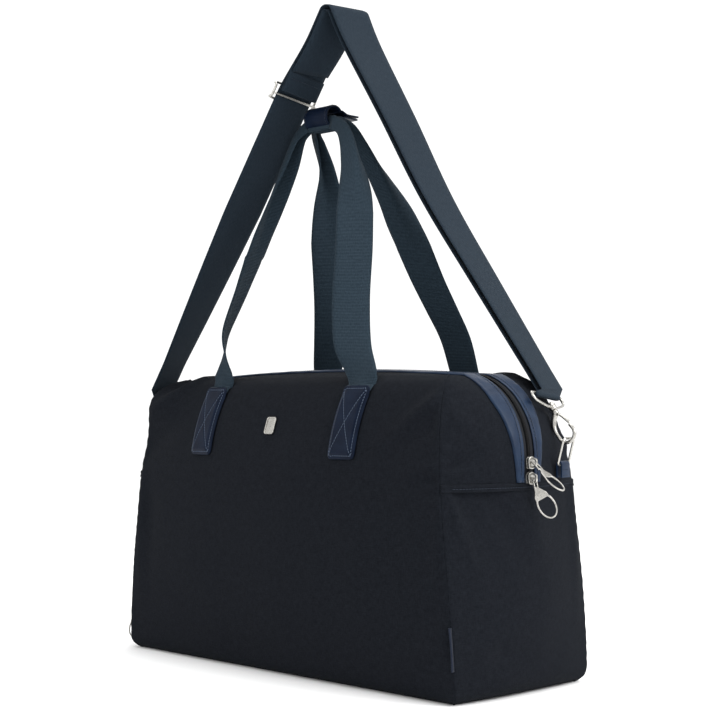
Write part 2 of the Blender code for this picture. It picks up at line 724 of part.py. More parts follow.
def handle(name, facing, right_knots, left_knots):
    """A webbing handle from its right patch through the wrap and down to its left patch."""
    right = leg_path(facing, 1, right_knots)
    left = leg_path(facing, -1, left_knots)
    ends = (right[-1][0].x, left[-1][0].x)
    middle = []
    for x in steps(*ends, 5)[1:-1]:
        centre = Vector((x, facing * 0.0041, WRAP_CENTRE[2]))
        middle.append((centre, Vector((0, 1, 0)), 0.0070, 0.0105))
    turned_left = []
    flip = -1 if left[-1][1].y < 0 else 1
    for centre, across, width, thickness in reversed(left):
        turned_left.append((centre, across * flip, width, thickness))
    return ribbon(name, right + middle + turned_left, "webbing", WRAP_CENTRE)


def wrap():
    """The leather wrap that gathers both handles: a rolled loop whose two ends snap together at the back."""
    x0, y0, z0 = WRAP_CENTRE
    radius = WRAP_BORE + LEATHER / 2
    fin_y, fin_z = 0.034, 0.0035
    centre_line = [(fin_y, fin_z - 0.0028)]
    centre_line.append((0.0150, fin_z - 0.0024))
    for turn in steps(-12, -322, 22):
        angle = math.radians(turn)
        centre_line.append((radius * math.cos(angle), radius * math.sin(angle)))
    outline = thick_outline(centre_line, LEATHER / 2)
    place_at = lambda u, v, w: Vector((x0 + w, y0 + u, z0 + v))
    ends = (-WRAP_LENGTH / 2, WRAP_LENGTH / 2)
    prism("handle_wrap", outline, place_at, ends, "leather", WRAP_CENTRE)
    angle = math.radians(-322)
    start = (radius * math.cos(angle) + 0.0022, radius * math.sin(angle) + 0.0001)
    flap_line = [start, (0.0150, fin_z + 0.0022), (0.0200, fin_z + 0.0006), (fin_y + 0.0015, fin_z + 0.0004)]
    flap = thick_outline(flap_line, LEATHER / 2)
    hinge = Vector((x0, y0 + start[0], z0 + start[1]))
    prism("wrap_flap", flap, place_at, ends, "leather", hinge)
    snap = Vector((x0, y0 + 0.0275, z0 + fin_z))
    up = Vector((0, 0, 1))
    cap = [(0.0018, 0.0), (0.0018, 0.0052), (0.0026, 0.0048), (0.0032, 0.0025), (0.0034, 0.0)]
    stud = [(-0.0041, 0.0), (-0.0041, 0.0046), (-0.0052, 0.0040), (-0.0055, 0.0)]
    turned_solid("wrap_snap_cap", cap, snap, up, hinge)
    turned_solid("wrap_snap_stud", list(reversed(stud)), snap, up, WRAP_CENTRE)


def turned_solid(name, profile, centre, axis, origin):
    """A solid turned piece: the profile runs from the axis out and back to it."""
    side = axis.orthogonal().normalized()
    other = axis.cross(side)
    points = [centre + axis * profile[0][0]]
    around = 16
    for along, radius in profile[1:-1]:
        for k in range(around):
            angle = 2 * math.pi * k / around
            points.append(centre + axis * along + (side * math.cos(angle) + other * math.sin(angle)) * radius)
    points.append(centre + axis * profile[-1][0])
    rows = len(profile) - 2
    faces = []
    for k in range(around):
        after = (k + 1) % around
        faces.append((0, 1 + after, 1 + k))
        for row in range(rows - 1):
            a, b = 1 + row * around, 1 + (row + 1) * around
            faces.append((a + k, a + after, b + after, b + k))
        last = 1 + (rows - 1) * around
        faces.append((last + k, last + after, len(points) - 1))
    return mesh_object(name, points, faces, "nickel", origin)


def thick_outline(line, half):
    """The outline of a strip of even thickness along a line of (u, v) points."""
    one_side, other_side = [], []
    for i, (u, v) in enumerate(line):
        before, after = line[max(i - 1, 0)], line[min(i + 1, len(line) - 1)]
        du, dv = after[0] - before[0], after[1] - before[1]
        size = math.hypot(du, dv)
        nu, nv = -dv / size * half, du / size * half
        one_side.append((u + nu, v + nv))
        other_side.append((u - nu, v - nv))
    return one_side + other_side[::-1]


# ---------------------------------------------------------------- D-rings, hooks and shoulder strap

STRAP_PLANES = {side: Vector((1, bearing, 0)).normalized() for side, bearing in STRAP_BEARINGS.items()}
SKY = Vector((0, 0, 1))

# The strap's middle line in its own plane: distance from the bag's middle and height, down the right leg.
RIGHT_LEG = ((0.0215, 0.6500), (0.0640, 0.5700), (0.1095, 0.4815), (0.1650, 0.3914))
LEFT_LEG = ((-0.0220, 0.6560), (-0.0550, 0.6130), (-0.1275, 0.4815), (-0.2000, 0.3500))
APEX = 0.6846           # height of the centre of the fold at the strap's top
APEX_RADIUS = 0.0058
STRAP_TURN_TOP = 82.0   # direction across the strap at its top, in degrees from +X
STRAP_TURN_ENDS = {1: 105.0, -1: 114.0}     # and at its right and left ends
ADJUSTER_TURN = 87.0    # and along the straight run that the adjuster slides on


def ring_frame(side):
    """Middle of a D-ring's lower bar, across it and out from the bag, at the right end (1) or the left end (-1)."""
    def wall(t, s):
        return end_side(1, t, s)
    s = station_at(POCKET_TOP + 0.0026)
    t = RING_Y / station(s)[2]
    out = Vector((math.cos(RING_TURN), math.sin(RING_TURN), 0))
    foot = wall(t, s) + out * 0.0062
    foot.z = POCKET_TOP + 0.0155
    across = SKY.cross(out)
    return turn_with(side, foot), turn_with(side, across), turn_with(side, out)


def strap_point(h, z):
    """A point of the strap's middle line, h along the bearing of its own leg and z up."""
    return STRAP_PLANES[1 if h >= 0 else -1] * h + SKY * z


def turn_with(side, v):
    return Vector((side * v.x, side * v.y, v.z))


def ring_up(side):
    _, _, out = ring_frame(side)
    return SKY * math.cos(RING_LEAN) + out * math.sin(RING_LEAN)


def d_ring(side, label):
    foot, across, out = ring_frame(side)
    corner = 0.0050
    half, tall = RING_HALF_WIDTH, RING_HEIGHT
    points = []
    for cy, cz, start in ((half - corner, tall - corner, 0), (-half + corner, tall - corner, 90),
                          (-half + 0.0022, 0.0022, 180), (half - 0.0022, 0.0022, 270)):
        bend = corner if cz > 0.01 else 0.0022
        for turn in steps(start, start + 90, 5):
            angle = math.radians(turn)
            points.append(foot + across * (cy + bend * math.cos(angle)) + ring_up(side) * (cz + bend * math.sin(angle)))
    rod("d_ring_" + label, points, RING_WIRE, "nickel", foot, sides=10, closed=True)
    inner, outer, drop = RING_WIRE + 0.0004, RING_WIRE + 0.0004 + LEATHER, 0.0125
    outline = []
    for turn in steps(0, 180, 9):
        angle = math.radians(turn)
        outline.append((outer * math.cos(angle), outer * math.sin(angle)))
    outline += [(-outer, -drop), (-inner, -drop)]
    for turn in steps(180, 0, 9):
        angle = math.radians(turn)
        outline.append((inner * math.cos(angle), inner * math.sin(angle)))
    outline += [(inner, -drop), (outer, -drop)]
    def place(u, v, w):
        return foot + out * u + SKY * v + across * w
    prism("d_ring_tab_" + label, outline, place, (-0.0076, 0.0076), "leather")


def hook_axes(side):
    """The hook's contact point on its ring, and its outward and upward directions. It pulls along the strap."""
    foot, _, out = ring_frame(side)
    contact = foot + ring_up(side) * RING_HEIGHT
    low_knot = RIGHT_LEG[-1] if side > 0 else LEFT_LEG[-1]
    up = (strap_point(*low_knot) - contact).normalized()
    out = (out - up * up.dot(out)).normalized()
    return contact, out, up


def loop_bar(side):
    """Middle of the bar that the strap folds round, above the hook."""
    contact, _, up = hook_axes(side)
    return contact + up * (HOOK_RADIUS - RING_WIRE - HOOK_WIRE - 0.0003 + 0.0440)


def across_at(turn):
    angle = math.radians(turn)
    return Vector((math.cos(angle), math.sin(angle), 0))


def loop_across(side):
    """The direction of the bar that the strap folds round."""
    _, _, up = hook_axes(side)
    across = turn_with(side, across_at(STRAP_TURN_ENDS[side]))
    return square_to(across, up)


def hook(side, label):
    contact, out, up = hook_axes(side)
    middle = contact + up * (HOOK_RADIUS - RING_WIRE - HOOK_WIRE - 0.0003)
    def place(u, w):
        return middle + out * u + up * w
    line, radii = [], []
    for turn in steps(38, -180, 15):
        angle = math.radians(turn)
        line.append(place(HOOK_RADIUS * math.cos(angle), HOOK_RADIUS * math.sin(angle)))
        radii.append(HOOK_WIRE * (0.62 if turn > 30 else 1.0))
    for u, w, radius in ((-0.0094, 0.006, 1.05), (-0.0084, 0.0123, 1.2), (-0.0052, 0.0180, 1.4), (-0.0014, 0.0218, 1.5),
                         (0.0, 0.0248, 1.35)):
        line.append(place(u, w))
        radii.append(HOOK_WIRE * radius)
    body = rod("hook_" + label, line, radii, "nickel", middle, sides=12)
    shank = [(0.0225, 0.0), (0.0225, 0.0030), (0.0262, 0.0030), (0.0262, 0.0014), (0.0334, 0.0014),
             (0.0334, 0.0027), (0.0350, 0.0020), (0.0350, 0.0)]
    neck = turned_solid("hook_shank_" + label, shank, middle, up, middle)
    join_solids(body, neck)
    pivot = place(0.0026, 0.0200)
    gate_line = [pivot + up * 0.0, place(0.0048, 0.0160), place(0.0064, 0.0120), place(0.0077, 0.0076)]
    lower = Vector(gate_line[0])
    gate_line[0] = lower + (gate_line[0] - gate_line[1]).normalized() * 0.0002
    rod("hook_gate_" + label, gate_line, [0.0010, 0.0012, 0.0012, 0.0009], "nickel", pivot, sides=8)
    collar = [(0.0266, 0.0018), (0.0266, 0.0036), (0.0330, 0.0036), (0.0330, 0.0018)]
    across = loop_across(side)
    ring = turned("hook_loop_" + label, collar, middle, up, "nickel", middle)
    half, low, high = STRAP_WIDTH / 2 + 0.0055, 0.0298, 0.0440
    arm = [(0.0028, low), (0.0080, low), (0.0150, 0.0312), (half - 0.0045, 0.0345), (half - 0.0010, 0.0370),
           (half, 0.0400), (half - 0.0006, high - 0.0012), (half - 0.0026, high)]
    points = []
    for u, w in arm + [(0.0, high)] + [(-u, w) for u, w in reversed(arm)]:
        points.append(middle + across * u + up * w)
    bail = rod("hook_bail_" + label, points, LOOP_WIRE, "nickel", middle, sides=8)
    join_solids(ring, bail)


def strap_middle():
    """The strap's middle line from the right loop to the left loop, as (place, turn of the direction across)."""
    right_bar, left_bar = loop_bar(1), loop_bar(-1)
    slope = 28
    arc = []
    for turn in steps(slope, 180 - slope, 6):
        angle = math.radians(turn)
        arc.append((APEX_RADIUS * math.cos(angle), APEX + APEX_RADIUS * math.sin(angle)))
    rise = [(right_bar.dot(STRAP_PLANES[1]), right_bar.z)] + list(reversed(RIGHT_LEG)) + arc[:1]
    fall = list(LEFT_LEG) + [(left_bar.dot(STRAP_PLANES[-1]), left_bar.z)]
    line = []
    for h, z in smooth_path(rise, 2)[:-1] + arc + fall:
        drop = min(max((APEX - z) / 0.38, 0.0), 1.0)
        turn = STRAP_TURN_TOP + (STRAP_TURN_ENDS[1 if h >= 0 else -1] - STRAP_TURN_TOP) * drop
        if (h, z) in LEFT_LEG[1:3]:
            turn = ADJUSTER_TURN
        line.append((strap_point(h, z), turn))
    line[0] = (right_bar, STRAP_TURN_ENDS[1])
    line[-1] = (left_bar, STRAP_TURN_ENDS[-1])
    return line


def strap_layer(line, offset):
    """The middle line moved out of the strap's face by offset."""
    made = []
    for i, (centre, turn) in enumerate(line):
        along = (line[min(i + 1, len(line) - 1)][0] - line[max(i - 1, 0)][0]).normalized()
        across = across_at(turn)
        face = along.cross(across).normalized()
        if face.z < 0:
            face = -face
        made.append((centre + face * offset, across, STRAP_WIDTH, STRAP_THICKNESS))
    return made


def fold(bar, up, face, across, first, last):
    """Knots round a bar: angle 0 is inside the strap's loop, 180 is outside, turning under the bar."""
    radius = STRAP_APART / 2
    made = []
    for turn in steps(first, last, 6):
        angle = math.radians(turn)
        centre = bar - face * radius * math.cos(angle) - up * radius * math.sin(angle)
        made.append((centre, across, STRAP_WIDTH, STRAP_THICKNESS))
    return made


def adjuster_frame():
    """The adjuster's middle, its direction down the strap, across it and out of its face."""
    top_knot, low_knot = LEFT_LEG[1], LEFT_LEG[-1]
    start = strap_point(*top_knot)
    down = (strap_point(*low_knot) - start).normalized()
    middle = start + down * 0.012
    across = square_to(across_at(ADJUSTER_TURN), down)
    face = down.cross(across)
    if face.z < 0:
        face = -face
    return middle, down, across, face


def shoulder_strap():
    line = strap_middle()
    half = STRAP_APART / 2
    outer = strap_layer(line, half)
    inner = strap_layer(line, -half)
    right_up, left_up = hook_axes(1)[2], hook_axes(-1)[2]
    right_face = loop_across(1).cross(right_up)
    left_face = loop_across(-1).cross(left_up)
    across_r, across_l = loop_across(1), -loop_across(-1)
    left_fold = fold(line[-1][0], left_up, left_face, across_l, 180, 0)
    hem = [(line[-1][0] - left_face * half + left_up * d, across_l, STRAP_WIDTH, STRAP_THICKNESS)
           for d in (0.015, 0.032)]
    right_fold = fold(line[0][0], right_up, right_face, across_r, 94, 180)
    ribbon("strap_webbing", right_fold + outer[1:-1] + left_fold + hem, "webbing")
    middle, down, across, face = adjuster_frame()
    stop = [k for k, (centre, _) in enumerate(line) if centre.x < 0 and centre.z < middle.z][0]
    tail = [(middle - face * (half + 0.0002) + down * d, across, STRAP_WIDTH, STRAP_THICKNESS)
            for d in (-0.014, -0.0065)]
    end = (middle - face * (half + 0.0016) - down * 0.0022, across, STRAP_WIDTH, STRAP_THICKNESS)
    back_fold = fold(line[0][0], right_up, right_face, across_r, 80, 0)
    ribbon("strap_return_run", back_fold + inner[1:stop - 1] + tail + [end], "webbing")
    strap_adjuster(middle, down, across, face)


def strap_adjuster(middle, down, across, face):
    """A wire slider: two end bars outside the webbing, a centre bar inside it, and sides that join them."""
    wide, tall = STRAP_WIDTH / 2 + 0.0045, 0.0085
    half = STRAP_APART / 2
    web = middle + face * half
    rise = LOOP_WIRE + STRAP_THICKNESS / 2 + 0.0006
    points = []
    inset = 0.0018
    for u, w, lift in ((wide - inset, -tall, 1), (wide, -tall + 0.003, 0), (wide, tall - 0.003, 0),
                       (wide - inset, tall, 1), (0.0, tall, 1), (inset - wide, tall, 1), (-wide, tall - 0.003, 0),
                       (-wide, -tall + 0.003, 0), (inset - wide, -tall, 1), (0.0, -tall, 1)):
        points.append(web + across * u + down * w + face * rise * lift)
    frame = rod("strap_adjuster", points, LOOP_WIRE, "nickel", middle, sides=8, closed=True)
    bar_line = []
    for u, drop in ((-wide, 0), (-wide + 0.0008, rise * 0.7), (inset - wide, rise), (0.0, rise), (wide - inset, rise),
                    (wide - 0.0008, rise * 0.7), (wide, 0)):
        bar_line.append(web + across * u - face * drop + down * 0.0020)
    bar = rod("adjuster_bar", bar_line, LOOP_WIRE * 0.9, "nickel", middle, sides=8)
    join_solids(frame, bar)


# ---------------------------------------------------------------- small trim

def badge_and_tag():
    ride = on_front(-1, GAP + 0.0016)
    across, tall = 0.0070, 0.0090
    def surface(p, q):
        corner = 0.0028
        height = 0.2495 - tall + 2 * tall * q
        half = across - round_inset(corner, min(q, 1 - q) * 2 * tall)
        return ride((2 * p - 1) * half, height)
    sheet("badge_plate", surface, steps(0, 1, 3), [0, 0.04, 0.12, 0.5, 0.88, 0.96, 1.0], "nickel", 0.0014)
    low, high, reach = 0.032, 0.071, 0.0048
    outwards = Vector((0.45, -1, 0)).normalized()
    side = Vector((1, 0.45, 0)).normalized()
    def corner_at(z):
        _, length, depth, _, _ = station(station_at(z))
        return Vector((length, -depth, z))
    sections = []
    for z in steps(low, high, 3):
        root = corner_at(z) + outwards * 0.0006 + side * 0.0002
        tip = root + outwards * reach
        sections.append([root - side * 0.0005, root + side * 0.0005, tip + side * 0.0005, tip - side * 0.0005])
    loft("side_tag", sections, "label")


clear_scene()
shell()
main_zip()
sliders()
shoe_compartment()
for facing, side_name in ((-1, "front"), (1, "back")):
    for side, end_name in ((1, "right"), (-1, "left")):
        patch("patch_" + side_name + "_" + end_name, facing, side)
handle("handle_front", -1, FRONT_RIGHT_LEG, FRONT_LEFT_LEG)
handle("handle_back", 1, BACK_RIGHT_LEG, BACK_LEFT_LEG)
wrap()
for side, label in ((1, "right"), (-1, "left")):
    d_ring(side, label)
    hook(side, label)
shoulder_strap()
badge_and_tag()
for thing in list(bpy.data.objects):
    outward(thing)
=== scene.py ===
"""Looks for the weekender bag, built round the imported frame.

Metres, +Z up, +X to the right end, -Y to the front.
"""

import math

import bmesh
import bpy
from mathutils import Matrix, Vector, noise


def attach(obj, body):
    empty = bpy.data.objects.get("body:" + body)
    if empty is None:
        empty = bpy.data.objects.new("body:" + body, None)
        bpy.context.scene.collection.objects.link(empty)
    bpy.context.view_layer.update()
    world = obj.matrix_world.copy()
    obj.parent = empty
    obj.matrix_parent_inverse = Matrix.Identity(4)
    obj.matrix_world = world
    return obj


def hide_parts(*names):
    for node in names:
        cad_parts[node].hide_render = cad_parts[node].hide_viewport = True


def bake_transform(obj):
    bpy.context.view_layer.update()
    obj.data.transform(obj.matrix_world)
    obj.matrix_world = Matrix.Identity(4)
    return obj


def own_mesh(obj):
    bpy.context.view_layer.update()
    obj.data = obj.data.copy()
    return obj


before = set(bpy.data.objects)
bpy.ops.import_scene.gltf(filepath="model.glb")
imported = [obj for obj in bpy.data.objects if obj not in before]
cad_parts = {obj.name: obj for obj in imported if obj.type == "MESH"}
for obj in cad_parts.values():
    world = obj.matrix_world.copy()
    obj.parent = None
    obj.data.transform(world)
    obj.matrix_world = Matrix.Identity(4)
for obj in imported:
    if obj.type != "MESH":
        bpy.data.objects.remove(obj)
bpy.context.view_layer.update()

# Dimensions shared with the CAD part, in metres.
LEATHER, WEBBING, GAP = 0.0018, 0.0022, 0.0004
PANEL_DEPTH = 0.0012         # how deep a panel of the shell is drawn
POCKET_TOP = 0.198
HANDLE_WIDTH = 0.038
PATCH_SPREAD, PATCH_WIDTH = 0.107, 0.035
PATCH_BOTTOM, PATCH_TOP = 0.218, 0.287
WRAP_CENTRE = (-0.032, 0.0, 0.5790)
WRAP_LENGTH, WRAP_BORE = 0.036, 0.0108
STRAP_WIDTH, STRAP_THICKNESS, STRAP_APART = 0.050, 0.0018, 0.0052
STRAP_BEARINGS = {1: 0.316, -1: 0.290}       # y gained for each x along the right and left legs
RING_Y, RING_TURN = 0.052, math.radians(9)
RING_WIRE, RING_HALF_WIDTH, RING_HEIGHT = 0.00125, 0.0102, 0.026
RING_LEAN = math.radians(15)
HOOK_WIRE, HOOK_RADIUS, LOOP_WIRE = 0.0018, 0.0088, 0.0014
STATIONS = (   # height, half length, half depth, front swell, end swell
    (0.0008, 0.2370, 0.0885, 0.0000, 0.0030),
    (0.0070, 0.2440, 0.0955, 0.0020, 0.0060),
    (0.0250, 0.2450, 0.0975, 0.0050, 0.0100),
    (0.0900, 0.2400, 0.0985, 0.0110, 0.0170),
    (0.1500, 0.2330, 0.0980, 0.0135, 0.0205),
    (0.2000, 0.2270, 0.0965, 0.0145, 0.0240),
    (0.2220, 0.2235, 0.0935, 0.0145, 0.0275),
    (0.2400, 0.2205, 0.0900, 0.0140, 0.0284),
    (0.2570, 0.2170, 0.0850, 0.0135, 0.0260),
    (0.2720, 0.2135, 0.0790, 0.0130, 0.0200),
    (0.2840, 0.2100, 0.0725, 0.0125, 0.0118),
    (0.2930, 0.2060, 0.0650, 0.0115, 0.0018),
    (0.2985, 0.2000, 0.0540, 0.0105, -0.0056),
)
CROWN = 0.0075
TAPE_EDGE = 0.0105
SHOULDER = (-0.212, -0.079, 0.273)      # the corner that the strap draws out
SKY = Vector((0, 0, 1))


# ---------------------------------------------------------------- camera, light and floor

def camera():
    lens = bpy.data.cameras.new("camera")
    lens.sensor_width = 36.0
    lens.lens = 76.95
    made = bpy.data.objects.new("camera", lens)
    made.location = (1.17827, -1.12065, 0.26870)
    forward = Vector((-0.71702, 0.69638, 0.03080))
    made.rotation_euler = forward.to_track_quat("-Z", "Y").to_euler()
    bpy.context.scene.collection.objects.link(made)
    bpy.context.scene.camera = made


def softbox(name, place, target, size, watts):
    light = bpy.data.lights.new(name, "AREA")
    light.shape = "RECTANGLE"
    light.size, light.size_y = size
    light.energy = watts
    made = bpy.data.objects.new(name, light)
    made.location = place
    made.rotation_euler = (Vector(target) - Vector(place)).to_track_quat("-Z", "Y").to_euler()
    bpy.context.scene.collection.objects.link(made)


def studio():
    scene = bpy.context.scene
    scene.view_settings.view_transform = "Standard"
    scene.view_settings.exposure = 0.22
    world = bpy.data.worlds.new("studio")
    world.use_nodes = True
    backdrop = world.node_tree.nodes["Background"]
    backdrop.inputs["Color"].default_value = (1.0, 1.0, 1.0, 1.0)
    backdrop.inputs["Strength"].default_value = 1.0
    scene.world = world
    softbox("key", (2.1, 0.5, 1.5), (0, 0, 0.25), (1.3, 1.6), 46)
    softbox("fill", (-0.6, -2.6, 1.2), (0, 0, 0.2), (1.6, 1.2), 14)
    softbox("top", (0.0, 0.3, 2.2), (0, 0, 0.3), (1.6, 1.6), 26)
    half = 14.0
    points = [(-half, -half, 0), (half, -half, 0), (half, half, 0), (-half, half, 0)]
    mesh = bpy.data.meshes.new("floor")
    mesh.from_pydata(points, [], [(0, 1, 2, 3)])
    mesh.materials.append(FINISH["floor"])
    floor = bpy.data.objects.new("floor", mesh)
    scene.collection.objects.link(floor)


# ---------------------------------------------------------------- materials

WAVES_PER_UNIT = 3.1831      # bands of the wave texture in one unit at scale 1


class Shading:
    """One material: a Principled shader with patterns feeding its colour, roughness and normal."""

    def __init__(self, name, roughness, metallic=0.0, sheen=0.0, specular=0.5):
        self.material = bpy.data.materials.new(name)
        self.material.use_nodes = True
        self.nodes = self.material.node_tree.nodes
        self.shader = self.nodes["Principled BSDF"].inputs
        self.shader["Roughness"].default_value = roughness
        self.shader["Metallic"].default_value = metallic
        self.shader["Sheen Weight"].default_value = sheen
        self.shader["Sheen Roughness"].default_value = 0.45
        self.shader["Specular IOR Level"].default_value = specular
        self.normal = None

    def feed(self, socket, value):
        """Sets a socket, or links it when the value is another node's output."""
        if isinstance(value, bpy.types.NodeSocket):
            self.material.node_tree.links.new(value, socket)
        else:
            socket.default_value = value

    def add(self, kind, **sockets):
        node = self.nodes.new("ShaderNode" + kind)
        for name, value in sockets.items():
            self.feed(node.inputs[name.replace("_", " ")], value)
        return node

    def place(self, kind, scale=(1.0, 1.0, 1.0), turn=0.0):
        """Texture coordinates: UV is metres on the piece, Object is metres in the frame."""
        source = self.add("TexCoord").outputs[kind]
        rotation = (0.0, 0.0, math.radians(turn))
        return self.add("Mapping", Vector=source, Scale=scale, Rotation=rotation).outputs["Vector"]

    def noise(self, where, scale, detail=3.0):
        return self.add("TexNoise", Vector=where, Scale=scale, Detail=detail).outputs["Fac"]

    def wave(self, where, per_metre, distortion=0.0, direction="X"):
        """A row of threads, so many to the metre."""
        node = self.add("TexWave", Vector=where, Scale=per_metre / WAVES_PER_UNIT, Distortion=distortion)
        node.wave_type = "BANDS"
        node.bands_direction = direction
        return node.outputs["Fac"]

    def cells(self, where, scale):
        node = self.add("TexVoronoi", Vector=where, Scale=scale)
        node.feature = "DISTANCE_TO_EDGE"
        return node.outputs["Distance"]

    def maths(self, kind, a, b):
        node = self.nodes.new("ShaderNodeMath")
        node.operation = kind
        self.feed(node.inputs[0], a)
        self.feed(node.inputs[1], b)
        return node.outputs[0]

    def mix(self, a, b, share):
        """A weighted sum: share of b, and the rest of a."""
        return self.maths("ADD", self.maths("MULTIPLY", a, 1 - share), self.maths("MULTIPLY", b, share))

    def colour(self, fac, low, high, start=0.3, stop=0.7):
        ramp = self.add("ValToRGB", Fac=fac)
        for element, position, tone in zip(ramp.color_ramp.elements, (start, stop), (low, high)):
            element.position = position
            element.color = (*tone, 1.0)
        self.feed(self.shader["Base Color"], ramp.outputs["Color"])

    def rough(self, fac, low, high):
        spread = self.add("MapRange", Value=fac, To_Min=low, To_Max=high)
        self.feed(self.shader["Roughness"], spread.outputs["Result"])

    def bump(self, fac, distance, strength=1.0):
        node = self.add("Bump", Distance=distance, Strength=strength, Height=fac)
        if self.normal is not None:
            self.feed(node.inputs["Normal"], self.normal)
        self.normal = node.outputs["Normal"]
        self.feed(self.shader["Normal"], self.normal)


def twill(name, low, high, coords="UV", sheen=0.01):
    """Fine navy twill: diagonal ribs crossed by threads, with lighter and darker yarns."""
    made = Shading(name, 0.9, sheen=sheen, specular=0.03)
    flat = made.place(coords)
    ribs = made.wave(made.place(coords, turn=45), 1250, 0.6)
    threads = made.wave(flat, 1700, 0.4)
    yarn = made.noise(made.place(coords, (900, 220, 900)), 1.0, 2.0)
    cross = made.noise(made.place(coords, (220, 900, 220)), 1.0, 2.0)
    melange = made.mix(yarn, cross, 0.5)
    shade = made.mix(made.mix(ribs, melange, 0.78), made.noise(flat, 150), 0.18)
    made.colour(shade, low, high, 0.34, 0.68)
    made.bump(made.maths("ADD", ribs, made.maths("MULTIPLY", threads, 0.5)), 0.00016, 0.7)
    made.bump(melange, 0.0003, 0.45)
    return made.material


def webbing(name, low, high, ribs_per_metre, slant):
    """Woven tape: ribs across its width, and warp ends along it."""
    made = Shading(name, 0.8, sheen=0.02, specular=0.05)
    ribs = made.wave(made.place("UV", turn=slant), ribs_per_metre, 0.3, "Y")
    warp = made.wave(made.place("UV"), 950, 0.2)
    yarn = made.noise(made.place("UV", (1100, 260, 1)), 1.0, 2.0)
    made.colour(made.mix(ribs, yarn, 0.65), low, high, 0.28, 0.75)
    made.bump(made.maths("ADD", ribs, made.maths("MULTIPLY", warp, 0.45)), 0.00028, 0.8)
    return made.material


def leather(name, low, high, specular):
    """Smooth leather with a fine grain."""
    made = Shading(name, 0.42, specular=specular)
    where = made.place("Object")
    made.colour(made.noise(where, 60), low, high, 0.35, 0.7)
    made.rough(made.noise(where, 220, 4.0), 0.30, 0.46)
    made.bump(made.maths("MINIMUM", made.cells(where, 900), 0.12), 0.0012, 0.22)
    made.bump(made.noise(where, 1500), 0.0001, 0.35)
    return made.material


def metal(name, low, high):
    """Satin metal with a faint brushed grain."""
    made = Shading(name, 0.26, metallic=1.0)
    where = made.place("Object")
    made.colour(made.noise(where, 300), low, high)
    made.rough(made.noise(where, 900, 4.0), 0.2, 0.36)
    made.bump(made.noise(made.place("Object", (300, 300, 2600)), 1.0, 2.0), 0.00004, 0.5)
    return made.material


def spun(name, low, high, rough=0.6, scale=1400, sheen=0.02):
    """Thread, zip coil, tape, label and board: small twisted or woven detail by position."""
    made = Shading(name, rough, sheen=sheen, specular=0.12)
    twist = made.noise(made.place("Object"), scale, 2.0)
    made.colour(twist, low, high)
    made.bump(twist, 0.00012, 0.5)
    return made.material


def floor_finish(name, low, high):
    made = Shading(name, 0.75, specular=0.2)
    made.colour(made.noise(made.place("Object"), 6.0, 2.0), low, high)
    return made.material


# Colours are the darkest and lightest tone of each pattern.
NAVY_TWILL = ((0.0034, 0.0042, 0.0060), (0.0104, 0.0122, 0.0160))
FINISH = {
    "twill": twill("twill", *NAVY_TWILL),
    "twill_frame": twill("twill_frame", *NAVY_TWILL, "Object"),
    "lining": twill("lining", (0.030, 0.036, 0.048), (0.060, 0.070, 0.088), "Object", 0.1),
    "handle_web": webbing("handle_web", (0.0085, 0.0150, 0.0220), (0.0235, 0.0370, 0.0500), 620, 0.0),
    "strap_web": webbing("strap_web", (0.0070, 0.0120, 0.0185), (0.0190, 0.0285, 0.0395), 900, 18.0),
    "leather": leather("leather", (0.0042, 0.0115, 0.0290), (0.0085, 0.0200, 0.0440), 0.14),
    # The patch and wrap leather is the same leather with a lower specular. Its colours are darkened to about
    # half as painted shade, so these pieces read darker than the trims that catch the light.
    "leather_painted_shade": leather("leather_painted_shade", (0.0020, 0.0046, 0.0125), (0.0042, 0.0084, 0.0200), 0.06),
    "nickel": metal("nickel", (0.33, 0.32, 0.30), (0.44, 0.43, 0.40)),
    "tape": spun("tape", (0.004, 0.0045, 0.006), (0.009, 0.010, 0.013), 0.75),
    "coil": spun("coil", (0.002, 0.002, 0.0025), (0.005, 0.005, 0.006), 0.5, 900, 0.0),
    "thread_dark": spun("thread_dark", (0.010, 0.014, 0.022), (0.030, 0.038, 0.055), 0.6, 2600),
    "thread_light": spun("thread_light", (0.040, 0.056, 0.088), (0.085, 0.110, 0.155), 0.55, 2600),
    "label": spun("label", (0.004, 0.007, 0.015), (0.008, 0.012, 0.023), 0.7, 1800),
    "board": spun("board", (0.05, 0.05, 0.05), (0.09, 0.09, 0.09), 0.7, 500),
    "floor": floor_finish("floor", (0.90, 0.90, 0.90), (0.92, 0.92, 0.92)),
}


# ---------------------------------------------------------------- making pieces

def steps(first, last, count):
    return [first + (last - first) * i / (count - 1) for i in range(count)]


def clamp(value, low=0.0, high=1.0):
    return min(max(value, low), high)


def ease(value):
    value = clamp(value)
    return value * value * (3 - 2 * value)


def arc(middle, radii, first, last, count):
    """Points of an ellipse round middle, from one angle in degrees to another."""
    made = []
    for turn in steps(first, last, count):
        angle = math.radians(turn)
        made.append((middle[0] + radii[0] * math.cos(angle), middle[1] + radii[1] * math.sin(angle)))
    return made


def rounded_box(low, high, bend, count):
    """The outline of the box between two corners, rounded off with count points at each of its corners."""
    made = []
    for u, v, start in ((high[0] - bend, high[1] - bend, 0), (low[0] + bend, high[1] - bend, 90),
                        (low[0] + bend, low[1] + bend, 180), (high[0] - bend, low[1] + bend, 270)):
        made += arc((u, v), (bend, bend), start, start + 90, count)
    return made


def towards(direction, aim):
    """The direction, or its opposite if that one is nearer to aim."""
    return -direction if direction.dot(aim) < 0 else direction


def square_to(direction, along):
    """The part of direction that is square to along."""
    return (direction - along * direction.dot(along)).normalized()


def mend(mesh, merge=False):
    """Turns every face outwards, after merging points that coincide if asked."""
    shape = bmesh.new()
    shape.from_mesh(mesh)
    if merge:
        bmesh.ops.remove_doubles(shape, verts=shape.verts, dist=1e-6)
    bmesh.ops.recalc_face_normals(shape, faces=shape.faces)
    shape.to_mesh(mesh)
    shape.free()


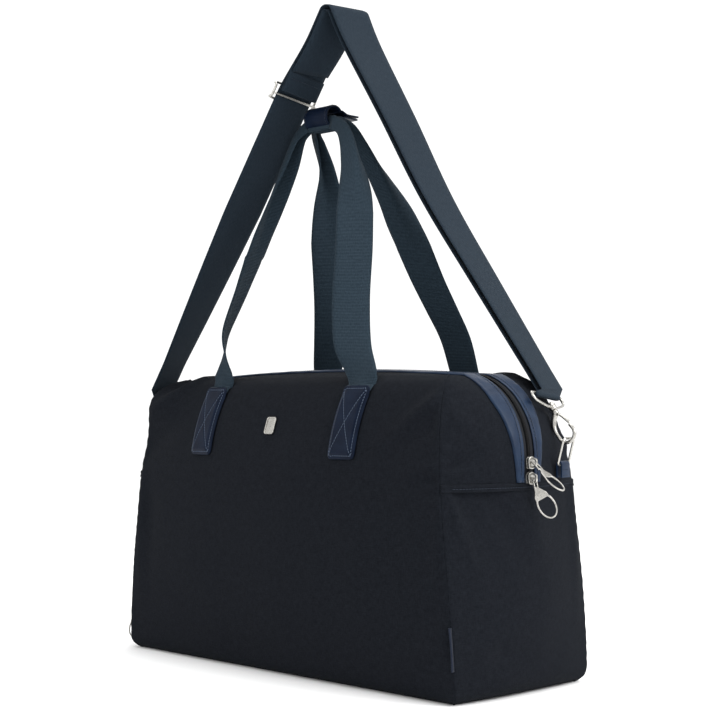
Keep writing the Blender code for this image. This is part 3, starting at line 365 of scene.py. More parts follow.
def piece(name, points, faces, finish, body, nodes=(), uvs=None, fix=False):
    """A new piece in frame coordinates that rides on body and stands for some CAD nodes."""
    mesh = bpy.data.meshes.new(name)
    mesh.from_pydata(points, [], faces)
    mesh.materials.append(FINISH[finish])
    if uvs:
        layer = mesh.uv_layers.new(name="metres")
        for loop in mesh.loops:
            layer.data[loop.index].uv = uvs[loop.vertex_index]
    if fix:
        mend(mesh)
    mesh.shade_smooth()
    made = bpy.data.objects.new(name, mesh)
    bpy.context.scene.collection.objects.link(made)
    if body:
        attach(made, body)
    if nodes:
        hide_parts(*nodes)
    return made


def grid_faces(rows, columns, ring=False):
    faces = []
    for j in range(rows - 1):
        for i in range(columns if ring else columns - 1):
            k = (i + 1) % columns
            faces.append((j * columns + i, j * columns + k, (j + 1) * columns + k, (j + 1) * columns + i))
    return faces


def tube_faces(rings, sides, closed=False, shift=0):
    """Faces of rings of points: the last joined to the first when closed, and both ends capped otherwise."""
    faces = grid_faces(rings, sides, True)
    last = (rings - 1) * sides
    if not closed:
        return faces + [tuple(reversed(range(sides))), tuple(last + i for i in range(sides))]
    return faces + [(last + i, last + (i + 1) % sides, (i + 1 + shift) % sides, (i + shift) % sides)
                    for i in range(sides)]


def spokes(side, up, sides):
    """Directions evenly round a circle."""
    turns = [2 * math.pi * k / sides for k in range(sides)]
    return [side * math.cos(turn) + up * math.sin(turn) for turn in turns]


def grid_uvs(rows):
    """Metres along and up each row of points, so a weave keeps its scale."""
    made = []
    up = [0.0] * len(rows[0])
    for j, row in enumerate(rows):
        if j:
            up = [up[i] + (row[i] - rows[j - 1][i]).length for i in range(len(row))]
        along = [0.0]
        for i in range(1, len(row)):
            along.append(along[-1] + (row[i] - row[i - 1]).length)
        middle = along[-1] / 2
        made += [(along[i] - middle, up[i]) for i in range(len(row))]
    return made


def normal_of(surface, u, v, reach=1e-4):
    across = surface(u + reach, v) - surface(u - reach, v)
    upward = surface(u, v + reach) - surface(u, v - reach)
    return across.cross(upward).normalized()


def sheet(name, surface, us, vs, finish, body, nodes, thickness, lift=0.0, relief=None):
    """A sewn panel: the grid of surface(u, v), raised by lift and relief(u, v, point), thick below it."""
    rows = []
    for v in vs:
        row = []
        for u in us:
            point = surface(u, v)
            raised = lift + (relief(u, v, point) if relief else 0.0)
            row.append(point + normal_of(surface, u, v) * raised)
        rows.append(row)
    points = [p for row in rows for p in row]
    made = piece(name, points, grid_faces(len(vs), len(us)), finish, body, nodes, grid_uvs(rows))
    solid = made.modifiers.new("thickness", "SOLIDIFY")
    solid.thickness = thickness
    solid.offset = -1.0
    return made


def frames(path, closed=False):
    """Tangent, side and upward directions along a path, without twist."""
    count = len(path)
    made = []
    side = None
    for i in range(count):
        before = path[(i - 1) % count] if closed else path[max(i - 1, 0)]
        after = path[(i + 1) % count] if closed else path[min(i + 1, count - 1)]
        along = (after - before).normalized()
        if side is None:
            side = along.orthogonal().normalized()
        side = (side - along * side.dot(along)).normalized()
        made.append((along, side, along.cross(side)))
    return made


def tube(name, path, radii, finish, body, nodes=(), sides=16, closed=False):
    """A round bar with a radius at each point: a ring, or a bar with domed ends."""
    path = [Vector(p) for p in path]
    radii = list(radii) if isinstance(radii, (list, tuple)) else [radii] * len(path)
    if not closed:
        first, last = (path[0] - path[1]).normalized(), (path[-1] - path[-2]).normalized()
        head = [path[0] + first * radii[0] * reach for reach in (0.92, 0.7)]
        tail = [path[-1] + last * radii[-1] * reach for reach in (0.7, 0.92)]
        path = head + path + tail
        radii = [radii[0] * 0.35, radii[0] * 0.72] + radii + [radii[-1] * 0.72, radii[-1] * 0.35]
    points = []
    for centre, radius, (_, side, up) in zip(path, radii, frames(path, closed)):
        points += [centre + spoke * radius for spoke in spokes(side, up, sides)]
    shift = 0
    if closed:       # how many places the last ring has turned from the first
        start = points[-sides]
        shift = min(range(sides), key=lambda k: (points[k] - start).length)
    return piece(name, points, tube_faces(len(path), sides, closed, shift), finish, body, nodes, fix=True)


def lathe(name, profile, centre, axis, finish, body, nodes=(), sides=32, closed=False):
    """A turned piece from (distance along the axis, radius) pairs."""
    side = axis.orthogonal().normalized()
    points = []
    for along, radius in profile:
        for spoke in spokes(side, axis.cross(side), sides):
            points.append(centre + axis * along + spoke * max(radius, 1e-5))
    made = piece(name, points, tube_faces(len(profile), sides, closed), finish, body, nodes, fix=True)
    made.data.set_sharp_from_angle(angle=math.radians(50))
    return made


def plate(name, outlines, place, low, high, round_off, finish, body, nodes=(), sharp=40):
    """A plate with rounded edges: outlines are (u, v) loops, the first outside and the rest holes."""
    curve = bpy.data.curves.new(name, "CURVE")
    curve.dimensions = "2D"
    curve.fill_mode = "BOTH"
    curve.extrude = (high - low) / 2 - round_off
    curve.bevel_depth = round_off
    curve.bevel_resolution = 3
    curve.offset = -round_off
    for outline in outlines:
        spline = curve.splines.new("POLY")
        spline.points.add(len(outline) - 1)
        for point, (u, v) in zip(spline.points, outline):
            point.co = (u, v, 0.0, 1.0)
        spline.use_cyclic_u = True
    holder = bpy.data.objects.new(name + "_outline", curve)
    bpy.context.scene.collection.objects.link(holder)
    ready = holder.evaluated_get(bpy.context.evaluated_depsgraph_get())
    flat = bpy.data.meshes.new_from_object(ready)
    bpy.data.objects.remove(holder)
    middle = (low + high) / 2
    points = [place(v.co.x, v.co.y, v.co.z + middle) for v in flat.vertices]
    made = piece(name, points, [tuple(p.vertices) for p in flat.polygons], finish, body, nodes)
    mend(made.data, merge=True)
    made.data.set_sharp_from_angle(angle=math.radians(sharp))
    return made


def capsules(name, bars, finish, body, nodes=(), sides=6):
    """Many short threads or teeth in one mesh. Each is (start, end, outward direction, radius, arch)."""
    points, faces = [], []
    for start, end, out, radius, arch in bars:
        along = (end - start).normalized()
        side = along.cross(out).normalized()
        first = len(points)
        for t, swell in ((0.0, 0.35), (0.18, 0.85), (0.5, 1.0), (0.82, 0.85), (1.0, 0.35)):
            centre = start + (end - start) * t + out * arch * math.sin(math.pi * t)
            points += [centre + spoke * radius * swell for spoke in spokes(side, out, sides)]
        faces += [tuple(first + k for k in face) for face in tube_faces(5, sides)]
    return piece(name, points, faces, finish, body, nodes, fix=True)


def along_line(line, spacing):
    """(point, normal, direction) at even spacing along a finely drawn line of (point, normal)."""
    made = []
    due = 0.0
    gone = 0.0
    for (a, normal_a), (b, normal_b) in zip(line, line[1:]):
        span = (b - a).length
        if span < 1e-9:
            continue
        while due <= gone + span:
            t = (due - gone) / span
            made.append((a.lerp(b, t), normal_a.lerp(normal_b, t).normalized(), (b - a) / span))
            due += spacing
        gone += span
    return made


def stitches(name, lines, body, finish="thread_dark", pitch=0.0033, length=0.0024, radius=0.00032):
    """Sewing thread along one or more lines of (point, normal) on a surface."""
    bars = []
    for line in lines:
        for point, normal, along in along_line(line, pitch)[:-1]:
            start = point + normal * (radius * 0.1)
            bars.append((start, start + along * length, normal, radius, radius * 1.1))
    return capsules(name, bars, finish, body)


def smooth_path(knots, per_span):
    made = []
    count = len(knots)
    for i in range(count - 1):
        quad = [knots[max(i - 1, 0)], knots[i], knots[i + 1], knots[min(i + 2, count - 1)]]
        for k in range(per_span):
            made.append(spline_value(quad, k / per_span))
    made.append(tuple(knots[-1]))
    return made


def spline_value(quad, t):
    a, b, c, d = quad
    return tuple(
        0.5 * (2 * q + (r - p) * t + (2 * p - 5 * q + 4 * r - s) * t * t + (3 * q - p - 3 * r + s) * t ** 3)
        for p, q, r, s in zip(a, b, c, d)
    )


def smooth_points(points, per_span, closed=False):
    if closed:
        loop = [points[-1]] + list(points) + list(points[:2])
        made = smooth_path([tuple(p) for p in loop], per_span)
        return [Vector(p) for p in made[per_span:-per_span]][:-1]
    return [Vector(p) for p in smooth_path([tuple(p) for p in points], per_span)]


# ---------------------------------------------------------------- the bag's surface, as in the CAD part

def station(s):
    last = len(STATIONS) - 1
    place = clamp(s) * last
    i = min(int(place), last - 1)
    quad = [STATIONS[max(i - 1, 0)], STATIONS[i], STATIONS[i + 1], STATIONS[min(i + 2, last)]]
    return spline_value(quad, place - i)


def station_at(height):
    low, high = 0.0, 1.0
    for _ in range(26):
        middle = (low + high) / 2
        if station(middle)[0] < height:
            low = middle
        else:
            high = middle
    return (low + high) / 2


def drawn_out(point):
    """The front left shoulder is drawn forwards and up where the strap pulls at the bag."""
    x, y, z = SHOULDER
    away = ((point.x - x) / 0.045) ** 2 + ((point.y - y) / 0.024) ** 2 + ((point.z - z) / 0.028) ** 2
    return point + Vector((0.0, -0.0150, 0.0050)) * math.exp(-away)


def long_side(facing, u, s):
    height, length, depth, swell, _ = station(s)
    return drawn_out(Vector((-facing * u * length, facing * (depth + swell * (1 - u * u)), height)))


def end_side(facing, t, s):
    height, length, depth, _, swell = station(s)
    return drawn_out(Vector((facing * (length + swell * (1 - t * t)), facing * t * depth, height)))


def top_half_depth(u):
    _, _, depth, swell, _ = STATIONS[-1]
    return depth + swell * (1 - u * u)


def top(u, w):
    height, length, _, _, swell = STATIONS[-1]
    rise = CROWN * (1 - u * u) * (1 - w * w)
    return drawn_out(Vector((u * (length + swell * (1 - w * w)), w * top_half_depth(u), height + rise)))


def end_at(facing, y, height):
    s = station_at(height)
    return end_side(facing, facing * y / station(s)[2], s)


def front_at(facing, x, height):
    s = station_at(height)
    return long_side(facing, -facing * x / station(s)[1], s)


POCKET_S = station_at(POCKET_TOP)


# ---------------------------------------------------------------- soft relief of the cloth

def beside(a, b, start, end):
    """Where a point lies along a line, from 0 to 1, and how far it is from it."""
    run_a, run_b = end[0] - start[0], end[1] - start[1]
    t = clamp(((a - start[0]) * run_a + (b - start[1]) * run_b) / (run_a ** 2 + run_b ** 2))
    return t, math.hypot(a - start[0] - run_a * t, b - start[1] - run_b * t)


def ridge(a, b, start, end, width, height):
    """A soft fold along a line in panel coordinates, fading towards its end."""
    t, away = beside(a, b, start, end)
    return height * math.exp(-(away / width) ** 2) * (1 - 0.8 * ease(t))


def billow(a, b, seed):
    """Slow unevenness of stuffed cloth."""
    broad = noise.noise(Vector((a * 11, b * 9, seed)))
    fine = noise.noise(Vector((a * 34, b * 26, seed + 7)))
    return 0.0013 * broad + 0.0004 * fine


def seam_pucker(distance, z, seed, high):
    """Small gathers beside an upright seam that ends at height high."""
    wobble = noise.noise(Vector((z * 30, seed, 0))) * 3
    gather = 0.00035 * math.exp(-distance / 0.007) * math.sin(z * 2 * math.pi / 0.012 + wobble)
    return gather * ease(z / 0.02) * ease((high - z) / 0.02)


def roll(distance, radius=0.003):
    """How far cloth turns down into a seam, this far from it."""
    short = clamp(1 - distance / radius)
    return -radius * (1 - math.sqrt(1 - short * short)) * 0.85


def calm_box(a, b, middle, half_a, half_b, margin=0.010):
    """0 under a sewn-on piece, rising to 1 a margin away."""
    away = max(abs(a - middle[0]) - half_a, abs(b - middle[1]) - half_b)
    return ease(away / margin)


LONG_FOLDS = (     # start, end, width, height, in (along to the right, height)
    ((0.214, 0.280), (0.150, 0.232), 0.0085, 0.0030),
    ((0.214, 0.255), (0.168, 0.225), 0.0120, -0.0016),
    ((0.230, 0.2045), (0.198, 0.2030), 0.0042, -0.0026),
    ((0.230, 0.2120), (0.196, 0.2150), 0.0050, 0.0022),
    ((0.232, 0.180), (0.226, 0.100), 0.0080, 0.0016),
    ((-0.160, 0.300), (-0.214, 0.260), 0.0065, 0.0024),
    ((-0.180, 0.300), (-0.212, 0.276), 0.0085, -0.0030),
    ((-0.225, 0.215), (-0.150, 0.262), 0.0140, -0.0018),
    ((-0.228, 0.190), (-0.222, 0.060), 0.0110, 0.0022),
    ((-0.205, 0.160), (-0.210, 0.050), 0.0140, -0.0014),
    ((-0.060, 0.020), (0.120, 0.030), 0.0200, -0.0012),
    ((0.236, 0.060), (0.180, 0.028), 0.0120, 0.0014),
)
END_FOLDS = (      # in (towards the back, height)
    ((-0.094, 0.192), (-0.070, 0.122), 0.0070, 0.0026),
    ((-0.080, 0.195), (-0.040, 0.120), 0.0130, -0.0022),
    ((-0.050, 0.188), (0.005, 0.110), 0.0170, -0.0026),
    ((0.000, 0.165), (0.030, 0.080), 0.0200, 0.0016),
    ((0.084, 0.190), (0.078, 0.060), 0.0090, 0.0020),
    ((-0.040, 0.040), (0.030, 0.030), 0.0120, -0.0014),
    ((-0.090, 0.2060), (-0.066, 0.2120), 0.0042, 0.0030),
    ((-0.090, 0.2150), (-0.060, 0.2260), 0.0050, -0.0020),
    ((0.090, 0.2250), (0.046, 0.2620), 0.0060, 0.0030),
    ((0.090, 0.2400), (0.052, 0.2720), 0.0060, -0.0026),
    ((-0.080, 0.2700), (-0.050, 0.2300), 0.0100, 0.0016),
)
FOLD_DEPTH = 1.7             # how much deeper than in the tables the folds are drawn


def folds(table, a, b):
    return FOLD_DEPTH * sum(ridge(a, b, *fold) for fold in table)


def long_relief(facing):
    """Relief of the front or back panel: folds and billows, calm under sewn pieces, puckers at its ends."""
    def relief(u, v, point):
        x, z = point.x, point.z
        _, length, _, _, _ = station(min(v, 1.0))
        edge = length * (1 - abs(u))
        seed = 3.0 if facing < 0 else 11.0
        calm = 1.0
        for side in (-1, 1):
            calm *= calm_box(x, z, (side * PATCH_SPREAD, 0.252), 0.019, 0.037)
        if facing < 0:
            calm *= calm_box(x, z, (0.0, 0.2495), 0.009, 0.011)
        calm *= ease(edge / 0.010) * ease((2.0 - v) / 0.8) * ease(z / 0.012)
        mirrored = x if facing < 0 else -0.93 * x + 0.01
        bulk = billow(x, z, seed) + folds(LONG_FOLDS, mirrored, z)
        return bulk * calm + seam_pucker(edge, z, seed, 0.29) + roll(edge)
    return relief


def end_relief(facing, seed, top_seam, low_z):
    """Relief of a panel on one end, calm at its seams and round the zip and the ring's tab."""
    def relief(_, __, point):
        y, z = point.y * facing, point.z
        edge = to_corner_seam(point)
        calm = ease((edge - 0.002) / 0.012) * ease(abs(z - top_seam) / 0.008) * ease((z - low_z) / 0.010)
        if z > POCKET_TOP:
            calm *= ease((abs(y) - 0.028) / 0.010)
            calm *= calm_box(y, z, (RING_Y, 0.204), 0.010, 0.010)
        bulk = billow(y, z, seed) + folds(END_FOLDS, y, z)
        return bulk * calm + seam_pucker(edge, z, seed, 0.27) + roll(edge)
    return relief


# ---------------------------------------------------------------- shell

def spread(low, high, count, close):
    """Evenly spaced values with a few extra close to both ends."""
    extra = [close * k for k in (0.0, 0.12, 0.3, 0.6)]
    span = high - low
    return [low + span * e for e in extra] + steps(low + span * close, high - span * close, count) \
        + [high - span * e for e in reversed(extra)]


def cloth(node, surface, us, vs, relief, lift=0.0):
    sheet(node + "_cloth", surface, us, vs, "twill", "bag", (node,), PANEL_DEPTH, lift, relief)


def long_panel(name, facing):
    def surface(u, v):
        if v <= 1:
            return long_side(facing, u, v)
        edge = TAPE_EDGE / top_half_depth(u)
        return top(-facing * u, facing * (1 - (v - 1) * (1 - edge)))
    vs = steps(0, 0.25, 22)[:-1] + steps(0.25, 0.45, 40)[:-1] + steps(0.45, 1, 52) + steps(1, 2, 18)[1:]
    cloth(name, surface, spread(-1, 1, 118, 0.016), vs, long_relief(facing))


def seam_t(s):
    """Where the corner seam runs, as a share of the end's half depth."""
    return 1 - 0.0006 / station(s)[2]


def to_corner_seam(point):
    return station(station_at(point.z))[2] - abs(point.y)


def end_surface(facing, s_low, s_high, t_low, t_high):
    """Part of an end, between two stations and between two edges that vary with the station."""
    def surface(p, q):
        s = s_low + (s_high - s_low) * q
        low, high = t_low(s), t_high(s)
        return end_side(facing, low + (high - low) * p, s)
    return surface


def gusset(name, facing, half, seed):
    """The web of cloth between the zip and a corner seam, on the half of the end that half says."""
    def inner(s):
        return TAPE_EDGE / station(s)[2]
    low = (lambda s: -seam_t(s)) if half < 0 else inner
    high = (lambda s: -inner(s)) if half < 0 else seam_t
    surface = end_surface(facing, POCKET_S - 0.012, 0.99, low, high)
    relief = end_relief(facing, seed, POCKET_TOP, POCKET_TOP - 0.02)
    cloth(name, surface, spread(0, 1, 44, 0.03), steps(0, 1, 64), relief)


def hem(name, facing):
    """The folded top edge of an end's lower part, standing a little proud, with its stitch row."""
    height, tall = POCKET_TOP, 0.0075
    def surface(p, q):
        s = station_at(height - tall + tall * q)
        return end_side(facing, (2 * p - 1) * seam_t(s), s)
    def relief(_, q, point):
        groove = -0.0005 * math.exp(-((q - 0.42) * tall / 0.0009) ** 2)
        rounded = -0.0013 * clamp((q - 0.86) / 0.14) ** 2 - 0.0010 * clamp((0.08 - q) / 0.08) ** 2
        wave = 0.0004 * noise.noise(Vector((point.y * 60, height, facing)))
        return groove + rounded + wave + roll(to_corner_seam(point))
    rows = [0, 0.02, 0.05, 0.1, 0.2, 0.3, 0.36, 0.42, 0.48, 0.56, 0.7, 0.86, 0.9, 0.95, 0.98, 1.0]
    sheet(name, surface, spread(0, 1, 70, 0.02), rows, "twill", "bag", (), 0.0010, 0.0014, relief)
    def wall(a, b):
        return end_at(facing, a, b)
    z = height - tall * 0.58
    line = []
    for y in steps(-0.086, 0.086, 120):
        normal = normal_of(wall, y * facing, z)
        line.append((wall(y * facing, z) + normal * 0.00105, normal))
    stitches(name + "_stitches", [line], "bag")


def corner_seams():
    """The turned-in seam allowance that shows at the bottom of each corner seam."""
    for across, end in ((1, "right"), (-1, "left")):
        for facing, side in ((-1, "front"), (1, "back")):
            path = []
            for s in steps(0.02, 1.0, 60):
                height, length, depth, _, _ = station(s)
                path.append(Vector((across * (length - 0.0028), facing * (depth - 0.0028), height - 0.0004)))
            tube("corner_seam_" + side + "_" + end, path, 0.0016, "twill_frame", "bag", sides=10)


def shell():
    long_panel("front_panel", -1)
    long_panel("back_panel", 1)
    for name, facing, half, seed in (("right_gusset_front", 1, -1, 21.0), ("right_gusset_back", 1, 1, 23.0),
                                     ("left_gusset_front", -1, 1, 25.0), ("left_gusset_back", -1, -1, 27.0)):
        gusset(name, facing, half, seed)
    pocket = end_surface(1, 0.0, POCKET_S - 0.006, lambda s: -seam_t(s), seam_t)
    rows = steps(0, 0.45, 34)[:-1] + steps(0.45, 1, 66)
    cloth("right_end_pocket", pocket, spread(0, 1, 84, 0.02), rows, end_relief(1, 31.0, POCKET_TOP, 0.0))
    hem("right_pocket_hem", 1)
    hem("left_end_hem", -1)
    corner_seams()
    for node, finish in (("base_panel", "twill_frame"), ("base_board", "board"), ("lining", "lining")):
        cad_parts[node].data.materials.clear()
        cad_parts[node].data.materials.append(FINISH[finish])


# ---------------------------------------------------------------- main zip

INSIDE = Vector((0, 0, 0.12))        # a point inside the bag, to tell inwards from outwards


def band_point(q, y):
    """The band that the zip follows: q up the right end (0 to 1), along the top, down the left end (to 3)."""
    if q <= 1:
        s = POCKET_S + (1 - POCKET_S) * q
        return end_side(1, y / station(s)[2], s)
    if q >= 2:
        s = POCKET_S + (1 - POCKET_S) * (3 - q)
        return end_side(-1, -y / station(s)[2], s)
    u = 1 - 2 * (q - 1)
    return top(u, y / top_half_depth(u))


def trim_edge(q):
    return 0.017 + 0.012 * min(min(q, 3 - q) / 0.6, 1.0)


TRIM_INNER = 0.0072
TRIM_STITCH = 0.0042        # how far the stitches run from the trim's inner edge


def zip_run():
    ends = steps(0.0, 1.0, 66)
    return ends + steps(1.0, 2.0, 90)[1:-1] + [3 - q for q in reversed(ends)]


def beside_middle(side, near, far, p):
    """A distance across the band, from near to far on the given side, always counted towards +Y."""
    return near + (far - near) * p if side > 0 else -far + (far - near) * p


def trim(name, side):
    """Leather strip beside the zip, rolled at its outer edge and pressed down along its stitches."""
    def surface(p, q):
        return band_point(q, beside_middle(side, TRIM_INNER, trim_edge(q), p))
    def relief(p, q, _):
        wide = trim_edge(q) - TRIM_INNER
        inward = p if side > 0 else 1 - p
        near, far = inward * wide, (1 - inward) * wide
        groove = -0.00045 * math.exp(-((near - TRIM_STITCH) / 0.0011) ** 2)
        rounded = -0.0009 * clamp(1 - near / 0.0014) ** 2 - 0.0016 * clamp(1 - far / 0.0022) ** 2
        crown = 0.0002 * math.sin(math.pi * clamp((near - TRIM_STITCH) / (wide - TRIM_STITCH)))
        wave = 0.0003 * noise.noise(Vector((q * 24, side * 5.0, inward * 2)))
        return groove + rounded + crown + wave
    across = [0, 0.02, 0.05, 0.1, 0.15, 0.2, 0.25, 0.3, 0.38, 0.5, 0.62, 0.74, 0.84, 0.9, 0.94, 0.97, 1.0]
    if side < 0:
        across = [1 - p for p in reversed(across)]
    sheet(name + "_leather", surface, across, zip_run(), "leather", "bag", (name,), 0.0015,
          GAP + LEATHER, relief)
    line = []
    y = side * (TRIM_INNER + TRIM_STITCH)
    for q in steps(0.03, 2.97, 420):
        here = band_point(q, y)
        normal = towards(normal_of(band_point, q, y), here - INSIDE)
        line.append((here + normal * (GAP + LEATHER - 0.0003), normal))
    stitches(name + "_stitches", [line], "bag")


def tape(name, side):
    def surface(p, q):
        return band_point(q, beside_middle(side, 0.0026, TAPE_EDGE - GAP, p))
    stations = [q for q in zip_run() if 0.02 < q < 2.98]
    sheet(name + "_woven", surface, steps(0, 1, 5), stations, "tape", "bag", (name,), 0.0007, 0.0002)


def teeth(name, line, half, nodes, lift):
    """A coil zip closed: teeth from both tapes, each reaching past the middle, and the cord in them."""
    places = along_line(line, 0.00105)
    bars = []
    for i, (base, normal, along) in enumerate(places):
        across = normal.cross(along).normalized() * (1 if i % 2 else -1) * half
        middle = base + normal * lift
        bars.append((middle + across, middle - across * 0.30 + along * 0.0004, normal, 0.00062, 0.0003))
    capsules(name, bars, "coil", "bag", nodes)
    core = [point + normal * (lift * 0.35) for point, normal, _ in places[::3]]
    tube(name + "_cord", core, 0.0007, "coil", "bag", sides=8)


def main_zip():
    for side, end in ((-1, "front"), (1, "back")):
        trim("zip_trim_" + end, side)
    for side, end in ((-1, "front"), (1, "back")):
        tape("zip_tape_" + end, side)
    line = []
    for q in steps(0.01, 2.99, 500):
        here = band_point(q, 0.0)
        along = (band_point(q + 0.002, 0.0) - here).normalized()
        line.append((here, towards(along.cross(Vector((0, 1, 0))), here - INSIDE).normalized()))
    teeth("zip_chain_teeth", line, 0.0027, ("zip_chain",), 0.0009)


SLIDER_HALF = (0.0046, 0.0060)
BAIL = 0.0072                # how far the pull's hinge stands out from the zip


def mirrored(points):
    """The same points in reverse with their second value turned round, which closes an outline."""
    return [(u, -v) for u, v in reversed(points)]


def slider(node, place):
    """A zip slider: two shield-shaped plates, the neck between them and the bridge that holds the pull."""
    wide, tall = SLIDER_HALF
    outline = arc((0, tall * 0.35), (wide, tall * 0.65), 0, 180, 14) \
        + arc((0, -tall * 0.8), (wide * 0.82, tall * 0.2), 180, 360, 8)
    def flat(v, w, u):
        return place(u, v, w)
    plate(node + "_plate", [outline], flat, 0.0026, 0.0046, 0.0006, "nickel", node, (node,))
    lower = [(v * 0.96, w * 0.96) for v, w in outline]
    plate(node + "_under", [lower], flat, 0.0004, 0.0014, 0.0003, "nickel", node)
    neck = arc((0, tall * 0.55), (wide * 0.3, tall * 0.3), 0, 345, 16)
    plate(node + "_neck", [neck], flat, 0.0010, 0.0030, 0.0001, "nickel", node)
    crest, inner = BAIL + 0.0033, BAIL + 0.0019
    outside = [(0.0040, 0.0050), (0.0068, 0.0048), (crest - 0.0006, 0.0036), (crest, 0.0026)]
    inside = [(0.0040, -0.0032), (0.0066, -0.0032), (inner, -0.0020)]
    profile = outside + mirrored(outside) + inside + mirrored(inside)
    plate(node + "_bridge", [profile], lambda u, w, v: place(u, v, w), -0.0011, 0.0011, 0.0003,
          "nickel", node)


PULL_SIZE = 0.86
LOOP_CENTRE, LOOP_WIDE, LOOP_LONG = 0.0225, 0.0100, 0.0150      # a pull's finger loop, below its link


def pull(node, hinge, down, across, body_down, body_across, size):
    """A zip pull: a slotted link that hangs from the slider, and the plate with a finger loop below it."""
    def placed(start, along, sideways):
        out = sideways.cross(along).normalized()
        def place(v, w, u):
            return start + sideways * v * size + along * w * size + out * u
        return place
    link = [(0.0034, -0.0005), (0.0034, 0.0112), (0.0028, 0.0118), (-0.0028, 0.0118), (-0.0034, 0.0112),
            (-0.0034, -0.0005), (-0.0028, -0.0011), (0.0028, -0.0011)]
    slot = arc((0, 0.0082), (0.0019, 0.0018), 0, 180, 10) + arc((0, 0.0029), (0.0019, 0.0018), 180, 360, 10)
    plate(node + "_link", [link, slot], placed(hinge, down, across), -0.0008, 0.0008, 0.0005, "nickel", node,
          (node,), 60)
    loop_place = placed(hinge + down * 0.0106 * size, body_down, body_across)
    right = [(0.0022, -0.0008), (0.0028, 0.0012), (0.0036, 0.0034), (0.0054, 0.0062), (0.0074, 0.0090)]
    left = [(-v, w) for v, w in reversed(right)]
    outer = right + arc((0, LOOP_CENTRE), (LOOP_WIDE, LOOP_LONG), -40, 220, 56) + left
    hole = arc((0, LOOP_CENTRE + 0.0004), (LOOP_WIDE - 0.0019, LOOP_LONG - 0.0022), -90, 268, 80)
    hole = [(v, w) for v, w in hole if w > LOOP_CENTRE - 0.0090]
    hole.sort(key=lambda point: math.atan2(point[1] - LOOP_CENTRE, point[0]))
    plate(node + "_loop", [outer, hole], loop_place, -0.0007, 0.0007, 0.0005, "nickel", node, (), 60)


# The main zip's sliders: name, height, how far the link leans out, and which way the loop hangs and faces.
SLIDERS = (
    ("upper", 0.2165, 52.0, (0.800, 0.040, -0.599), (-0.050, 0.9987, 0.000)),
    ("lower", 0.2020, 14.0, (0.359, 0.369, -0.857), (0.597, 0.615, 0.515)),
)


def sliders():
    for name, height, lean, body_down, body_across in SLIDERS:
        wall = end_at(1, 0.0, height)
        def place(u, v, w, wall=wall):
            return wall + Vector((u, v, w))
        slider("zip_slider_" + name, place)
        tilt = math.radians(lean)
        link_down = Vector((math.sin(tilt), 0.0, -math.cos(tilt)))
        hang = Vector(body_down).normalized()
        facing = square_to(Vector(body_across), hang)
        pull("zip_pull_" + name, wall + Vector((BAIL, 0, 0)), link_down, Vector((0, 1, 0)), hang, facing,
             PULL_SIZE)


# ---------------------------------------------------------------- left end: shoe compartment

DOOR_HALF_WIDTH, DOOR_TOP, DOOR_CORNER, DOOR_FOOT = 0.084, 0.186, 0.030, 0.012
HALF_ZIP = 0.0034


def door_edge(q, spread_by):
    """The line round the door, spread outwards: up one side (q to 1), over the top, down the other."""
    half, high, corner = DOOR_HALF_WIDTH + spread_by, DOOR_TOP + spread_by, DOOR_CORNER + spread_by
    if q < 1:
        return -half, DOOR_FOOT + (high - corner - DOOR_FOOT) * q
    if q > 2:
        return half, DOOR_FOOT + (high - corner - DOOR_FOOT) * (3 - q)
    turn = q - 1
    if turn < 0.4:
        angle = math.pi - turn / 0.4 * math.pi / 2
        return -half + corner + corner * math.cos(angle), high - corner + corner * math.sin(angle)
    if turn > 0.6:
        angle = (1 - turn) / 0.4 * math.pi / 2
        return half - corner + corner * math.cos(angle), high - corner + corner * math.sin(angle)
    share = (turn - 0.4) / 0.2
    return (-half + corner) * (1 - share) + (half - corner) * share, high


def door_stations(fine):
    made = []
    for low, high in ((0, 1), (1, 1.4), (1.4, 1.6), (1.6, 2)):
        made += steps(low, high, fine)[:-1]
    return made + steps(2, 3, fine)


def left_wall(a, b):
    return end_at(-1, a, b)


def beside_zip(spread_by, raise_by):
    line = []
    for q in door_stations(60):
        y, z = door_edge(q, spread_by)
        normal = towards(normal_of(left_wall, y, z), Vector((-1, 0, 0)))
        line.append((left_wall(y, z) + normal * raise_by, normal))
    return line


